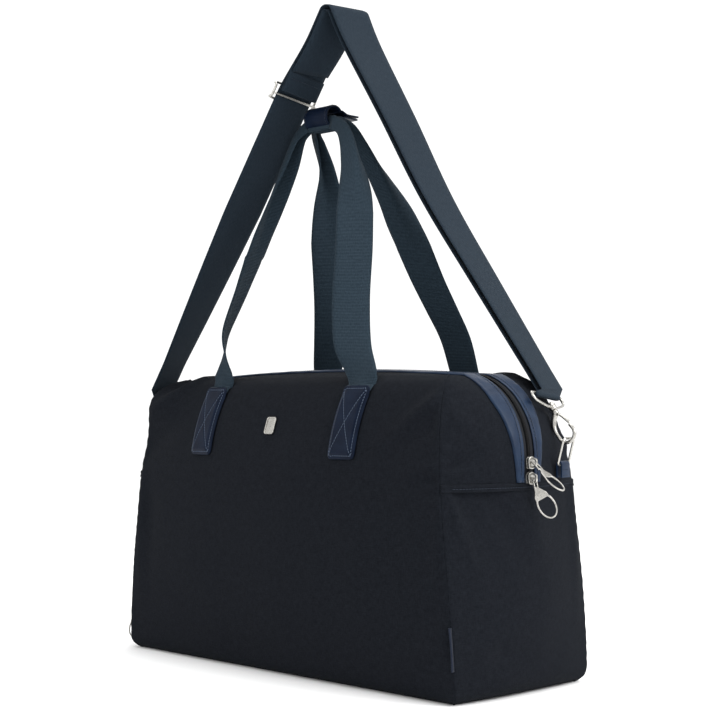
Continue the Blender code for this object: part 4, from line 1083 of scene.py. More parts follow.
def shoe_compartment():
    def surround(p, q):
        y, z = door_edge(q, HALF_ZIP)
        wide = station(station_at(z))[2] - 0.0006
        if q < 1 or q > 2:
            far_y, far_z = math.copysign(wide, y), z
        else:
            share = (q - 1.5) * 2
            height = POCKET_TOP - 0.004
            wide = station(POCKET_S)[2] - 0.0006
            lift = 1 - min(min(q - 1, 2 - q) / 0.2, 1.0)
            far_z = height - (height - (DOOR_TOP - DOOR_CORNER)) * lift * lift
            far_y = math.copysign(min(wide, abs(share) * wide / 0.72), share)
        return left_wall(y + (far_y - y) * p, z + (far_z - z) * p)
    def fold_in(p, _, point):
        return roll(to_corner_seam(point)) - 0.0007 * clamp(1 - p / 0.12) ** 2
    outwards = [0, 0.04, 0.1, 0.2, 0.35, 0.5, 0.65, 0.8, 0.88, 0.94, 0.98, 1.0]
    cloth("left_end_surround", surround, outwards, door_stations(24), fold_in)
    def door(p, q):
        height = DOOR_FOOT + (DOOR_TOP - HALF_ZIP - DOOR_FOOT) * q
        corner = DOOR_CORNER - HALF_ZIP
        short = clamp(corner - (DOOR_TOP - HALF_ZIP - height), 0.0, corner)
        half = DOOR_HALF_WIDTH - HALF_ZIP - corner + math.sqrt(corner * corner - short * short)
        return left_wall((1 - 2 * p) * half, height)
    def door_relief(p, q, point):
        calm = ease(min(p, 1 - p) / 0.10) * ease((1 - q) / 0.12) * ease(q / 0.08)
        bulk = billow(point.y, point.z, 41.0) * 1.6 + folds(END_FOLDS, -point.y, point.z)
        return bulk * calm - 0.0007 * clamp(1 - min(p, 1 - p) / 0.012) ** 2
    rows = steps(0, 0.8, 50) + steps(0.8, 1.0, 26)[1:]
    cloth("left_end_door", door, spread(0, 1, 70, 0.02), rows, door_relief)
    def foot(p, q):
        s = station_at(0.0010 + (DOOR_FOOT + 0.001) * q)
        return end_side(-1, seam_t(s) * (2 * p - 1), s)
    def foot_relief(_, q, point):
        return roll(to_corner_seam(point)) - 0.0008 * clamp((q - 0.85) / 0.15) ** 2
    cloth("left_end_foot", foot, spread(0, 1, 50, 0.02), steps(0, 1, 12), foot_relief, 0.0006)
    teeth("shoe_zip_teeth", beside_zip(0.0, 0.0), 0.0021, ("shoe_zip_chain",), 0.0004)
    for label, apart in (("inner", -0.0024), ("outer", 0.0024)):
        path = [point - normal * 0.0004 for point, normal in beside_zip(apart, 0.0)][::4]
        tube("shoe_zip_tape_" + label, path, 0.0011, "tape", "bag", sides=6)
    stitches("shoe_zip_stitches", [beside_zip(-0.0072, 0.0001), beside_zip(0.0066, 0.0001)], "bag")
    wall = end_at(-1, -DOOR_HALF_WIDTH, 0.041)
    def place(u, v, w):
        return wall + Vector((-u, -v, w))
    slider("shoe_zip_slider", place)
    down = Vector((-0.10, 0.0, -1.0)).normalized()
    across = Vector((0, -1, 0))
    pull("shoe_zip_pull", wall + Vector((-BAIL, 0, 0)), down, across, down, across, 0.68)


# ---------------------------------------------------------------- handles

def front_normal(facing, x, z):
    """The direction that the front or back faces at (x, z)."""
    def bare(u, v):
        return front_at(facing, -facing * u, v)
    return normal_of(bare, -facing * x, z)


def on_front(facing, x, z, lift):
    return front_at(facing, x, z) + front_normal(facing, x, z) * lift


PATCH_LIFT = 0.0052          # the leather's face over the cloth, with the webbing between them
PATCH_SEW = 0.0032           # how far the stitches run inside the patch's edge
PATCH_SEWN = PATCH_WIDTH / 2 - PATCH_SEW                      # half width of the box that they make


def patch(name, facing, side):
    """A leather patch sewn over the end of a handle, pressed down to the cloth round its sides and foot."""
    corner, tall = 0.0055, PATCH_TOP - PATCH_BOTTOM
    left, right = side * PATCH_SPREAD - PATCH_SEWN, side * PATCH_SPREAD + PATCH_SEWN
    low, high = PATCH_BOTTOM + PATCH_SEW, PATCH_TOP - PATCH_SEW
    cross = (((left, low), (right, high)), ((right, low), (left, high)))
    def half_at(z):
        short = clamp(corner - min(z - PATCH_BOTTOM, PATCH_TOP - z), 0.0, corner)
        return PATCH_WIDTH / 2 - corner + math.sqrt(max(corner * corner - short * short, 0.0))
    def surface(p, q):
        z = PATCH_BOTTOM + tall * q
        return front_at(facing, side * PATCH_SPREAD - facing * (2 * p - 1) * half_at(z), z)
    def height_at(x, z):
        """Height of the leather's face over the cloth: edges press down, the webbing swells the middle."""
        sideways = half_at(z) - abs(x - side * PATCH_SPREAD)
        foot, head = z - PATCH_BOTTOM, PATCH_TOP - z
        edge = min(sideways, foot, head)
        down = (1 - ease(min(sideways, foot) / 0.0065)) * ease(head / 0.010) * 0.0026
        crease = 0.0005 * math.exp(-((edge - PATCH_SEW) / 0.0009) ** 2)
        crosses = 0.0
        if edge > PATCH_SEW:
            for start, end in cross:
                crosses = max(crosses, math.exp(-(beside(x, z, start, end)[1] / 0.0010) ** 2))
        rounded = 0.0011 * clamp(1 - edge / 0.0012) ** 2
        return PATCH_LIFT - down - crease - 0.0004 * crosses - rounded
    def relief(_, __, point):
        return height_at(point.x, point.z)
    across = [0, 0.012, 0.03, 0.055, 0.085] + steps(0.11, 0.89, 26) + [0.915, 0.945, 0.97, 0.988, 1.0]
    upward = [0, 0.004, 0.012, 0.024, 0.04, 0.06] + steps(0.08, 0.92, 44) \
        + [0.94, 0.96, 0.976, 0.988, 0.996, 1.0]
    sheet(name + "_leather", surface, across, upward, "leather_painted_shade", "bag", (name,), 0.0016, 0.0, relief)
    def sew(points):
        return [(on_front(facing, x, z, height_at(x, z)), front_normal(facing, x, z))
                for x, z in dense(points)]
    loop = rounded_box((left, low), (right, high), 0.0028, 6)
    lines = [sew(loop + loop[:1])] + [sew(line) for line in cross]
    stitches(name + "_stitches", lines, "bag", "thread_light", 0.0030, 0.0023, 0.00036)


def dense(points):
    """The same line with a point every 1.2 mm or so."""
    made = []
    for (a, b), (c, d) in zip(points, points[1:]):
        count = max(int(math.hypot(c - a, d - b) / 0.0012), 1)
        made += [(a + (c - a) * k / count, b + (d - b) * k / count) for k in range(count)]
    return made + [points[-1]]


# Each handle leg from its patch to the wrap: middle, turn of the direction across, width as it folds.
LEGS = {
    ("front", 1): (
        (0.103, -0.074, 0.301, 8, 0.038), (0.086, -0.07, 0.3296, 34, 0.038),
        (0.0725, -0.0592, 0.3752, 46, 0.038), (0.0619, -0.0449, 0.4271, 50, 0.038),
        (0.0525, -0.0346, 0.466, 54, 0.038), (0.047, -0.027, 0.495, 60, 0.034),
        (0.0395, -0.019, 0.523, 70, 0.026), (0.026, -0.012, 0.55, 82, 0.016),
        (0.011, -0.0075, 0.568, 90, 0.0105), (-0.01, -0.0044, 0.5783, 90, 0.007),
    ),
    ("front", -1): (
        (-0.108, -0.074, 0.301, -10, 0.038), (-0.112, -0.0705, 0.324, -36, 0.038),
        (-0.116, -0.065, 0.353, -52, 0.038), (-0.103, -0.052, 0.4013, -62, 0.038),
        (-0.095, -0.0445, 0.4286, -68, 0.038), (-0.091, -0.0356, 0.4608, -72, 0.036),
        (-0.087, -0.0268, 0.493, -78, 0.03), (-0.08, -0.018, 0.527, -84, 0.021),
        (-0.069, -0.009, 0.564, -90, 0.0115), (-0.054, -0.0044, 0.5783, -90, 0.007),
    ),
    ("back", 1): (
        (0.105, 0.074, 0.301, 2, 0.038), (0.095, 0.07, 0.3386, 8, 0.038),
        (0.085, 0.0607, 0.37, 14, 0.038), (0.0732, 0.0519, 0.4017, 20, 0.038),
        (0.0628, 0.0432, 0.4333, 28, 0.038), (0.053, 0.0358, 0.4601, 38, 0.036),
        (0.044, 0.0285, 0.49, 50, 0.03), (0.029, 0.0185, 0.529, 68, 0.02),
        (0.009, 0.0095, 0.565, 90, 0.0105), (-0.01, 0.0044, 0.5783, 90, 0.007),
    ),
    ("back", -1): (
        (-0.104, 0.074, 0.301, 8, 0.038), (-0.095, 0.069, 0.338, 30, 0.038),
        (-0.084, 0.06, 0.376, 44, 0.038), (-0.076, 0.051, 0.4103, 52, 0.038),
        (-0.07, 0.042, 0.45, 58, 0.038), (-0.066, 0.036, 0.49, 66, 0.034),
        (-0.065, 0.028, 0.528, 78, 0.02), (-0.0635, 0.013, 0.563, 90, 0.0105),
        (-0.054, 0.0044, 0.5783, 90, 0.007),
    ),
}


WEB_POINTS = 13              # points across one face of webbing


def web_ring(centre, across, along, width, thickness, folded, cup):
    """A closed outline across webbing: flat, cupped, or folded lengthwise by an angle, with rounded edges."""
    face = across.cross(along).normalized()
    upper, lower = [], []
    half = width / 2
    for t in steps(-1, 1, WEB_POINTS):
        bent = math.sqrt(t * t + 0.03) - math.sqrt(0.03)
        reach = half * (t * math.cos(folded) if folded else t)
        drop = half * bent * math.sin(folded) + cup * t * t
        slope = math.atan2(t / math.sqrt(t * t + 0.03) * math.sin(folded) * half + 2 * cup * t,
                           half * math.cos(folded) + 1e-6)
        normal = across * math.sin(slope) + face * math.cos(slope)
        edge = math.sqrt(max(1 - (max(abs(t) - 0.955, 0) / 0.045) ** 2 * 0.85, 0.05))
        middle = centre + across * reach - face * drop
        upper.append(middle + normal * thickness / 2 * edge)
        lower.append(middle - normal * thickness / 2 * edge)
    return upper + lower[::-1]


def web(name, path, finish, body, nodes=()):
    """Webbing along a path of (centre, across, width, thickness, fold angle, cup)."""
    points = []
    gone = 0.0
    uvs = []
    for i, (centre, across, width, thickness, folded, cup) in enumerate(path):
        before, after = path[max(i - 1, 0)][0], path[min(i + 1, len(path) - 1)][0]
        if i:
            gone += (centre - path[i - 1][0]).length
        along = (after - before).normalized()
        points += web_ring(centre, across.normalized(), along, width, thickness, folded, cup)
        over = steps(-width / 2, width / 2, WEB_POINTS)
        uvs += [(u, gone) for u in over + over[::-1]]
    return piece(name, points, tube_faces(len(path), 2 * WEB_POINTS), finish, body, nodes, uvs, fix=True)


UNDER_PATCH = 2 * GAP + WEBBING / 2       # the middle of the webbing that is sewn under a patch


def along_front(facing, side):
    """The level direction along the front or back at the top of a patch."""
    near, far = [on_front(facing, side * PATCH_SPREAD + reach, PATCH_TOP, UNDER_PATCH)
                 for reach in (-0.01, 0.01)]
    return Vector((far.x - near.x, far.y - near.y, 0)).normalized()


def handle(label, facing):
    """Webbing sewn under both patches, and a run from patch to patch through the wrap, squashed as it drops."""
    name = "handle_" + label
    replaced = (name,)
    for side, end in ((1, "right"), (-1, "left")):
        slant = along_front(facing, side)
        under = []
        for z in steps(PATCH_BOTTOM + 0.010, PATCH_TOP + 0.0015, 9):
            width = 0.024 + 0.010 * ease((z - PATCH_TOP + 0.014) / 0.012)
            foot = on_front(facing, side * PATCH_SPREAD, z, UNDER_PATCH)
            under.append((foot, slant, width, WEBBING, 0.0, 0.0))
        web(name + "_end_" + end, under, "handle_web", "bag", replaced)
        replaced = ()
    path = leg(facing, 1, LEGS[label, 1])
    left = leg(facing, -1, LEGS[label, -1])
    middle = []
    for x in steps(path[-1][0].x, left[-1][0].x, 9)[1:-1]:
        centre = Vector((x, facing * 0.0044, WRAP_CENTRE[2]))
        middle.append((centre, Vector((0, 1, 0)), 0.034, WEBBING, math.radians(78), 0.0))
    flip = -1 if left[-1][1].y < 0 else 1
    turned = [(centre, across * flip, width, thick, folded, cup)
              for centre, across, width, thick, folded, cup in reversed(left)]
    made = web(name + "_web", path + middle + turned, "handle_web", "bag")
    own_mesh(made)


def leg(facing, side, knots):
    """Path of the webbing from under a patch to the wrap, folding lengthwise where its knots are narrower."""
    start = on_front(facing, side * PATCH_SPREAD, PATCH_TOP - 0.003, UNDER_PATCH)
    tangent = along_front(facing, side)
    slant = math.degrees(math.atan2(tangent.y, tangent.x))
    rows = [(*start, slant, HANDLE_WIDTH - 0.003)] + list(knots)
    made = []
    for x, y, z, turn, width in smooth_path(rows, 9):
        angle = math.radians(turn)
        folded = math.acos(clamp(width / HANDLE_WIDTH, 0.05, 1.0))
        real = HANDLE_WIDTH - 0.004 * ease((z - 0.53) / 0.04) - 0.003 * ease((0.30 - z) / 0.012)
        cup = 0.0012 * math.sin(z * 40 + facing)
        across = Vector((math.cos(angle), math.sin(angle), 0))
        made.append((Vector((x, y, z)), across, real, WEBBING, folded, cup))
    return made


def wrap():
    """The leather wrap round both handles: a rolled loop whose two ends snap together at the back."""
    x0, y0, z0 = WRAP_CENTRE
    radius = WRAP_BORE + LEATHER / 2
    fin_y, fin_z = 0.034, 0.0035
    line = [(fin_y, fin_z - 0.0028), (0.0150, fin_z - 0.0024)]
    for turn in steps(-12, -322, 44):
        angle = math.radians(turn)
        line.append((radius * math.cos(angle), radius * math.sin(angle)))
    def place(u, v, w):
        return Vector((x0 + w, y0 + u, z0 + v))
    half = WRAP_LENGTH / 2
    def leather_strip(node, outline):
        plate(node + "_leather", [thick_outline(outline, LEATHER / 2)], place, -half, half, 0.0005,
              "leather_painted_shade", node, (node,))
    leather_strip("handle_wrap", line)
    angle = math.radians(-322)
    start = (radius * math.cos(angle) + 0.0022, radius * math.sin(angle) + 0.0001)
    flap_knots = [start, (0.0150, fin_z + 0.0022), (0.0200, fin_z + 0.0006), (fin_y + 0.0015, fin_z + 0.0004)]
    flap = [tuple(p) for p in smooth_path(flap_knots, 6)]
    leather_strip("wrap_flap", flap)
    snap = Vector((x0, y0 + 0.0275, z0 + fin_z))
    cap = [(0.0012, 0.0), (0.0012, 0.0056), (0.0018, 0.0058), (0.0023, 0.0054), (0.0025, 0.0044),
           (0.0022, 0.0040), (0.0028, 0.0030), (0.0032, 0.0016), (0.0034, 0.0)]
    stud = [(-0.0058, 0.0), (-0.0057, 0.0018), (-0.0053, 0.0036), (-0.0047, 0.0046), (-0.0036, 0.0048),
            (-0.0036, 0.0)]
    lathe("wrap_snap_cap_turned", cap, snap, SKY, "nickel", "wrap_flap", ("wrap_snap_cap",))
    lathe("wrap_snap_stud_turned", stud, snap, SKY, "nickel", "handle_wrap", ("wrap_snap_stud",))
    on_flap = [(place(u, v + LEATHER / 2, 0), SKY) for u, v in flap]
    on_loop = []
    for u, v in line[2:-6]:
        out = Vector((0, u, v)).normalized()
        on_loop.append((place(u, v, 0) + out * (LEATHER / 2), out))
    for node, sewn in (("wrap_flap", on_flap), ("handle_wrap", on_loop)):
        rows = [[(point + Vector((x, 0, 0)), out) for point, out in sewn]
                for x in (-half + 0.0028, half - 0.0028)]
        stitches(node + "_stitches", rows, node, "thread_dark", 0.0030, 0.0022, 0.0003)


def thick_outline(line, half):
    """The outline of a strip along a line, half its thickness on either side."""
    one_side, other_side = [], []
    for i, (u, v) in enumerate(line):
        before, after = line[max(i - 1, 0)], line[min(i + 1, len(line) - 1)]
        du, dv = after[0] - before[0], after[1] - before[1]
        size = math.hypot(du, dv)
        nu, nv = -dv / size * half, du / size * half
        one_side.append((u + nu, v + nv))
        other_side.append((u - nu, v - nv))
    return one_side + other_side[::-1]


# ---------------------------------------------------------------- D-rings, hooks and shoulder strap

STRAP_PLANES = {side: Vector((1, bearing, 0)).normalized() for side, bearing in STRAP_BEARINGS.items()}
# The strap's right leg: (along its plane, height).
RIGHT_LEG = ((0.0215, 0.6500), (0.0640, 0.5700), (0.1095, 0.4815), (0.1650, 0.3914))
LEFT_LEG = ((-0.0220, 0.6560), (-0.0550, 0.6130), (-0.1275, 0.4815), (-0.2000, 0.3500))
APEX, APEX_RADIUS = 0.6846, 0.0058
STRAP_TURN_ENDS, STRAP_TURN_TOP, ADJUSTER_TURN = {1: 105.0, -1: 114.0}, 82.0, 87.0
ADJUSTER_DOWN = 0.012        # how far below the strap's upper bend the adjuster sits


def turn_with(side, v):
    """The left end's hardware is the right end's, turned half round."""
    return Vector((side * v.x, side * v.y, v.z))


def ring_frame(side):
    """Where a ring's straight foot is, the direction along it, and the way that it faces."""
    s = station_at(POCKET_TOP + 0.0026)
    out = Vector((math.cos(RING_TURN), math.sin(RING_TURN), 0))
    foot = end_side(1, RING_Y / station(s)[2], s) + out * 0.0062
    foot.z = POCKET_TOP + 0.0155
    return turn_with(side, foot), turn_with(side, SKY.cross(out)), turn_with(side, out)


def strap_point(h, z):
    """A point of the strap's middle line, h along the bearing of its own leg and z up."""
    return STRAP_PLANES[1 if h >= 0 else -1] * h + SKY * z


def ring_up(side):
    out = ring_frame(side)[2]
    return SKY * math.cos(RING_LEAN) + out * math.sin(RING_LEAN)


def d_ring(side, label):
    """A welded wire ring in a folded leather tab."""
    foot, across, out = ring_frame(side)
    half, tall = RING_HALF_WIDTH, RING_HEIGHT
    outline = []
    for across_by, up_by, bend, start, count in ((1, 1, 0.0050, 0, 12), (-1, 1, 0.0050, 90, 12),
                                                 (-1, -1, 0.0022, 180, 8), (1, -1, 0.0022, 270, 8)):
        corner = (across_by * (half - bend), tall - bend if up_by > 0 else bend)
        outline += arc(corner, (bend, bend), start, start + 90, count)
    path = [foot + across * a + ring_up(side) * b for a, b in outline]
    ring = "d_ring_" + label
    tube("d_ring_wire_" + label, path, RING_WIRE, "nickel", ring, (ring,), 16, True)
    middle = RING_WIRE + 0.0004 + LEATHER / 2
    drop = 0.0125
    line = [(-middle, -drop)] + arc((0, 0), (middle, middle), 180, 0, 18) + [(middle, -drop)]
    def place(u, v, w):
        return foot + out * u + SKY * v + across * w
    plate("d_ring_tab_leather_" + label, [thick_outline(line, LEATHER / 2)], place, -0.0076, 0.0076, 0.0004,
          "leather", "bag", ("d_ring_tab_" + label,))
    rows = [[(place(middle + LEATHER / 2, height, w), out) for w in steps(-0.0060, 0.0060, 14)]
            for height in (-0.0050, -0.0105)]
    stitches("d_ring_tab_stitches_" + label, rows, "bag", "thread_dark", 0.0026, 0.0019, 0.0003)


def hook_axes(side):
    """Where the hook bears on the ring, the way it faces, and the direction that the strap pulls it."""
    foot, _, out = ring_frame(side)
    contact = foot + ring_up(side) * RING_HEIGHT
    up = (strap_point(*(RIGHT_LEG[-1] if side > 0 else LEFT_LEG[-1])) - contact).normalized()
    return contact, (out - up * up.dot(out)).normalized(), up


HOOK_RISE = HOOK_RADIUS - RING_WIRE - HOOK_WIRE - 0.0003      # the hook's middle, over where it bears
LOOP_TOP = 0.0440            # the bar that the strap turns round, over the hook's middle


def loop_bar(side):
    contact, _, up = hook_axes(side)
    return contact + up * (HOOK_RISE + LOOP_TOP)


def across_at(turn):
    angle = math.radians(turn)
    return Vector((math.cos(angle), math.sin(angle), 0))


def loop_across(side):
    return square_to(turn_with(side, across_at(STRAP_TURN_ENDS[side])), hook_axes(side)[2])


def hook(side, label):
    """A swivel snap hook: cast body, sprung gate with its rivet, and the loop that holds the strap."""
    contact, out, up = hook_axes(side)
    middle = contact + up * HOOK_RISE
    body = "hook_" + label
    def place(u, w):
        return middle + out * u + up * w
    def rod(name, knots, per_span, ride, sides):
        """A cast bar through knots of (out, up, radius), which stands for the CAD node that it rides on."""
        fine = smooth_path([(*place(u, w), radius) for u, w, radius in knots], per_span)
        tube(name, [p[:3] for p in fine], [p[3] for p in fine], "nickel", ride, (ride,), sides)
    jaw = [(*point, HOOK_WIRE) for point in arc((0, 0), (HOOK_RADIUS, HOOK_RADIUS), 38, -180, 15)]
    jaw[0] = (*jaw[0][:2], HOOK_WIRE * 0.62)
    neck = ((-0.0094, 0.0060, 1.1), (-0.0084, 0.0123, 1.3), (-0.0052, 0.0180, 1.5), (-0.0014, 0.0218, 1.6),
            (0.0, 0.0248, 1.4))
    rod("hook_body_" + label, jaw + [(u, w, HOOK_WIRE * swell) for u, w, swell in neck], 4, body, 18)
    shank = [(0.0215, 0.0), (0.0215, 0.0026), (0.0222, 0.0033), (0.0250, 0.0033), (0.0262, 0.0026),
             (0.0266, 0.0014), (0.0330, 0.0014), (0.0332, 0.0026), (0.0340, 0.0029), (0.0350, 0.0022),
             (0.0354, 0.0)]
    lathe("hook_shank_turned_" + label, shank, middle, up, "nickel", body)
    pivot = (0.0026, 0.0200)
    gate = "hook_gate_" + label
    knots = [(*pivot, 0.0011), (0.0048, 0.0160, 0.0013), (0.0064, 0.0120, 0.0013), (0.0077, 0.0076, 0.0010)]
    rod(gate + "_bar", knots, 5, gate, 14)
    head = [(0.0022, 0.0013), (0.0026, 0.0009), (0.0026, 0.0)]
    rivet = [(-along, radius) for along, radius in reversed(head)] + head
    lathe("hook_rivet_" + label, rivet, place(*pivot), out.cross(up).normalized(), "nickel", body, sides=18)
    thumb = [(0.0, 0.0), (0.0, 0.0011), (0.0016, 0.0012), (0.0020, 0.0008), (0.0020, 0.0)]
    lathe("hook_thumb_" + label, thumb, place(0.0072, 0.0096), out, "nickel", gate, sides=14)
    collar = [(0.0266, 0.0018), (0.0266, 0.0032), (0.0272, 0.0038), (0.0324, 0.0038), (0.0330, 0.0032),
              (0.0330, 0.0018)]
    lathe("hook_collar_" + label, collar, middle, up, "nickel", "strap", ("hook_loop_" + label,), closed=True)
    across = loop_across(side)
    half, low, high = STRAP_WIDTH / 2 + 0.0055, 0.0298, LOOP_TOP
    arm = [(0.0030, low), (0.0080, low), (0.0150, 0.0312), (half - 0.0045, 0.0345), (half - 0.0010, 0.0370),
           (half, 0.0400), (half - 0.0006, high - 0.0012), (half - 0.0026, high)]
    knots = arm + [(0.0, high)] + [(-u, w) for u, w in reversed(arm)]
    path = smooth_points([middle + across * u + up * w for u, w in knots], 4)
    tube("hook_bail_wire_" + label, path, LOOP_WIRE, "nickel", "strap", sides=14)


def strap_turn(h, z):
    """Direction across the strap, in degrees from +X, the same along the run that the adjuster slides on."""
    drop = clamp((APEX - z) / 0.38)
    turn = STRAP_TURN_TOP + (STRAP_TURN_ENDS[1 if h >= 0 else -1] - STRAP_TURN_TOP) * drop
    if h > 0:
        return turn
    low = ADJUSTER_TURN + (STRAP_TURN_ENDS[-1] - ADJUSTER_TURN) * clamp((LEFT_LEG[2][1] - z) / 0.165)
    return min(turn, ADJUSTER_TURN) if z > LEFT_LEG[1][1] else low


def strap_middle():
    """The strap's middle line, from the right loop over its apex to the left loop: (point, turn across)."""
    right_bar, left_bar = loop_bar(1), loop_bar(-1)
    slope = 28
    bend = arc((0, APEX), (APEX_RADIUS, APEX_RADIUS), slope, 180 - slope, 13)
    rise = [(right_bar.dot(STRAP_PLANES[1]), right_bar.z)] + list(reversed(RIGHT_LEG)) + bend[:1]
    fall = bend[-1:] + list(LEFT_LEG) + [(left_bar.dot(STRAP_PLANES[-1]), left_bar.z)]
    knots = smooth_path(rise, 14)[:-1] + bend + straight_smooth(fall)[1:]
    line = [(strap_point(h, z), strap_turn(h, z)) for h, z in knots]
    line[0] = (right_bar, STRAP_TURN_ENDS[1])
    line[-1] = (left_bar, STRAP_TURN_ENDS[-1])
    return line


def straight_smooth(knots):
    """Straight runs between the knots, with their corners eased over a short length."""
    made = []
    for (a, b), (c, d) in zip(knots, knots[1:]):
        count = max(int(math.hypot(c - a, d - b) / 0.006), 2)
        made += [(a + (c - a) * k / count, b + (d - b) * k / count) for k in range(count)]
    made.append(knots[-1])
    for _ in range(6):
        made = made[:1] + [tuple((p + 2 * q + r) / 4 for p, q, r in zip(*three))
                           for three in zip(made, made[1:], made[2:])] + made[-1:]
    return made


def strap_row(centre, across, width=STRAP_WIDTH, thickness=STRAP_THICKNESS):
    """One flat row of the strap's webbing, for web()."""
    return centre, across, width, thickness, 0.0, 0.0


def strap_layer(line, offset):
    """One of the strap's two layers, offset from its middle line towards the sky."""
    made = []
    for i, (centre, turn) in enumerate(line):
        along = (line[min(i + 1, len(line) - 1)][0] - line[max(i - 1, 0)][0]).normalized()
        across = across_at(turn)
        face = towards(along.cross(across).normalized(), SKY)
        made.append(strap_row(centre + face * offset, across))
    return made


def fold(bar, up, face, across, first, last):
    """Round a bar: angle 0 is inside the strap's loop and 180 is outside, turning under the bar."""
    radius = STRAP_APART / 2
    made = []
    for turn in steps(first, last, 15):
        angle = math.radians(turn)
        centre = bar - face * radius * math.cos(angle) - up * radius * math.sin(angle)
        made.append(strap_row(centre, across))
    return made


def adjuster_frame():
    """The middle of the adjuster at rest, and the directions down the strap, across it and off its face."""
    start = strap_point(*LEFT_LEG[1])
    down = (strap_point(*LEFT_LEG[-1]) - start).normalized()
    across = square_to(across_at(ADJUSTER_TURN), down)
    return start + down * ADJUSTER_DOWN, down, across, towards(down.cross(across), SKY)


TAIL_SIZE = (STRAP_WIDTH - 0.0003, STRAP_THICKNESS * 0.98)    # a little smaller than the run over it


def shoulder_strap():
    """Two layers round both loops, the inner one ending in a tail round the adjuster's middle bar."""
    line = strap_middle()
    half = STRAP_APART / 2
    outer, inner = strap_layer(line, half), strap_layer(line, -half)
    right_up, left_up = hook_axes(1)[2], hook_axes(-1)[2]
    right_face, left_face = loop_across(1).cross(right_up), loop_across(-1).cross(left_up)
    across_r, across_l = loop_across(1), -loop_across(-1)
    left_fold = fold(line[-1][0], left_up, left_face, across_l, 180, 0)
    hem_end = [strap_row(line[-1][0] - left_face * half + left_up * d, across_l)
               for d in steps(0.005, 0.016, 4)]
    right_fold = fold(line[0][0], right_up, right_face, across_r, 94, 180)
    web("strap_outer_web", right_fold + outer[1:-1] + left_fold + hem_end, "strap_web", "strap",
        ("strap_webbing",))
    middle, down, across, face = adjuster_frame()
    stop = [k for k, (centre, _) in enumerate(line) if centre.x < 0 and centre.z < middle.z + 0.022][0]
    back_fold = fold(line[0][0], right_up, right_face, across_r, 80, 0)
    web("strap_inner_web", back_fold + inner[1:stop], "strap_web", "strap", ("strap_return_run",))
    reach = (middle - inner[stop - 2][0]).dot(down)       # from the tail's start to the adjuster
    tail = []
    for d in steps(-reach, -0.0055, 12):
        share = ease((d + reach) / (reach - 0.0055))
        tail.append(strap_row(middle - face * (half + 0.0001 * share) + down * d, across, *TAIL_SIZE))
    tail += tail_fold(middle, down, across, face)
    made = web("strap_tail_web", tail, "strap_web", None)
    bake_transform(made)
    strap_adjuster(middle, down, across, face)
    sewn = middle - face * (half + STRAP_THICKNESS * 1.9) - down * 0.019
    stitches("strap_tail_stitches", [[(sewn + across * a, -face) for a in steps(-0.021, 0.021, 40)]],
             "strap_adjuster", "thread_dark", 0.0030, 0.0022, 0.00034)
    hem_face = line[-1][0] - left_face * (half + STRAP_THICKNESS / 2) + left_up * 0.005
    wide, tall = STRAP_WIDTH / 2 - 0.004, 0.008
    corners = [(-wide, 0), (wide, 0), (wide, tall), (-wide, tall), (-wide, 0)]
    box = [(hem_face + across_l * a + left_up * b, -left_face) for a, b in dense(corners)]
    stitches("strap_hem_stitches", [box], "strap", "thread_dark", 0.0030, 0.0022, 0.00034)


def tail_fold(middle, down, across, face):
    """The inner layer's end: round the adjuster's middle bar and back up under itself, to be sewn."""
    half = STRAP_APART / 2
    radius = STRAP_THICKNESS * 0.55
    made = []
    for turn in steps(0, 180, 9)[1:]:
        angle = math.radians(turn)
        centre = middle - face * (half + 0.0001 + radius * (1 - math.cos(angle))) \
            + down * (-0.0052 + radius * math.sin(angle) * 1.6)
        made.append(strap_row(centre, across, *TAIL_SIZE))
    for d in steps(-0.010, -0.026, 6):
        made.append(strap_row(middle - face * (half + 0.0001 + 2 * radius) + down * d, across, *TAIL_SIZE))
    return made


def strap_adjuster(middle, down, across, face):
    wide, tall = STRAP_WIDTH / 2 + 0.0045, 0.0085
    web_face = middle + face * STRAP_APART / 2
    rise = LOOP_WIRE + STRAP_THICKNESS / 2 + 0.0006
    inset = 0.0018
    knots = [(wide - inset, -tall, 1), (wide, -tall + 0.003, 0), (wide, tall - 0.003, 0),
             (wide - inset, tall, 1), (0.0, tall, 1), (inset - wide, tall, 1), (-wide, tall - 0.003, 0),
             (-wide, -tall + 0.003, 0), (inset - wide, -tall, 1), (0.0, -tall, 1)]
    points = [web_face + across * u + down * w + face * rise * lift for u, w, lift in knots]
    tube("strap_adjuster_wire", smooth_points(points, 5, True), LOOP_WIRE, "nickel", "strap_adjuster",
         ("strap_adjuster",), 14, True)
    bar = [(-wide, 0), (-wide + 0.0008, rise * 0.7), (inset - wide, rise), (0.0, rise), (wide - inset, rise),
           (wide - 0.0008, rise * 0.7), (wide, 0)]
    path = smooth_points([web_face + across * u - face * drop + down * 0.0020 for u, drop in bar], 4)
    tube("strap_adjuster_bar", path, LOOP_WIRE * 0.9, "nickel", "strap_adjuster", sides=14)


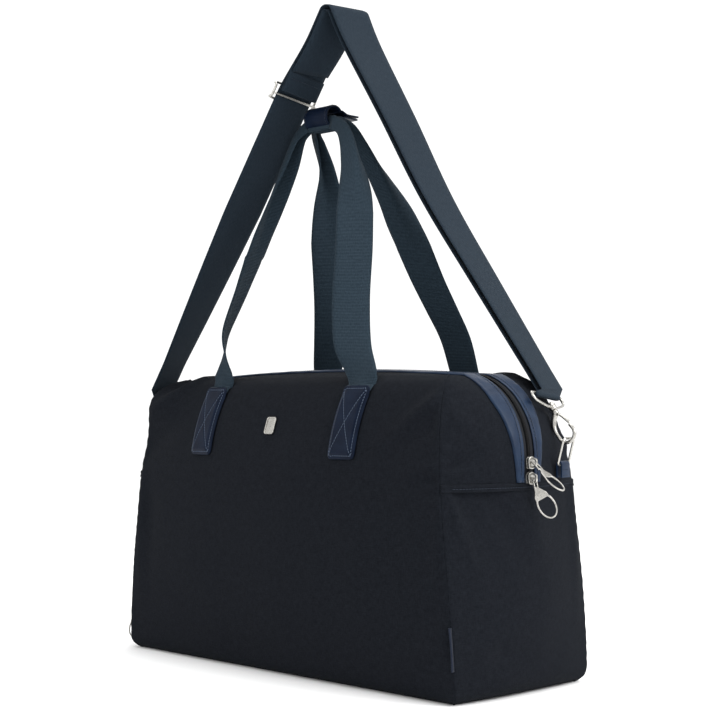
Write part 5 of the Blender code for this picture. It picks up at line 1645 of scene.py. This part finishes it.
# ---------------------------------------------------------------- badge and tag

def badge():
    """A plain plate with a raised rim and a sunk field, left blank."""
    height = 0.2495
    centre = on_front(-1, 0.0, height, 0.0)
    out = towards(front_normal(-1, 0.0, height), Vector((0, -1, 0)))
    across = Vector((1, 0, 0))
    up = towards(out.cross(across), SKY)
    def place(u, v, w):
        return centre + across * u + up * v + out * w
    def outline(half_u, half_v, bend):
        return rounded_box((-half_u, -half_v), (half_u, half_v), bend, 8)
    plate("badge_plate_blank", [outline(0.0066, 0.0086, 0.0026)], place, 0.0004, 0.0015, 0.0004, "nickel",
          "bag", ("badge_plate",))
    plate("badge_rim", [outline(0.0070, 0.0090, 0.0028), outline(0.0059, 0.0079, 0.0020)], place, 0.0005,
          0.0022, 0.0004, "nickel", "bag")


def side_tag():
    """A blank woven tag folded double and sewn into the corner seam."""
    low, high, reach, bend = 0.032, 0.071, 0.0058, 0.0006
    outwards = Vector((0.45, -1, 0)).normalized()
    side = Vector((1, 0.45, 0)).normalized()
    rows = []
    for z in steps(low, high, 24):
        _, length, depth, _, _ = station(station_at(z))
        root = Vector((length, -depth, z)) + outwards * -0.0012
        sway = side * 0.0006 * math.sin((z - low) / (high - low) * math.pi)
        tip = [root + sway + outwards * u + side * v
               for u, v in arc((reach - bend, 0), (bend, bend), -90, 90, 9)]
        rows.append([root - side * bend] + tip + [root + side * bend])
    points = [p for row in rows for p in row]
    made = piece("side_tag_woven", points, grid_faces(len(rows), len(rows[0])), "label", "bag", ("side_tag",),
                 grid_uvs(rows))
    solid = made.modifiers.new("thickness", "SOLIDIFY")
    solid.thickness = 0.0003
    solid.offset = 0.0


# ---------------------------------------------------------------- put together

camera()
studio()
shell()
main_zip()
sliders()
shoe_compartment()
for facing, label in ((-1, "front"), (1, "back")):
    for side, end in ((1, "right"), (-1, "left")):
        patch("patch_" + label + "_" + end, facing, side)
    handle(label, facing)
wrap()
for side, label in ((1, "right"), (-1, "left")):
    d_ring(side, label)
    hook(side, label)
shoulder_strap()
badge()
side_tag()
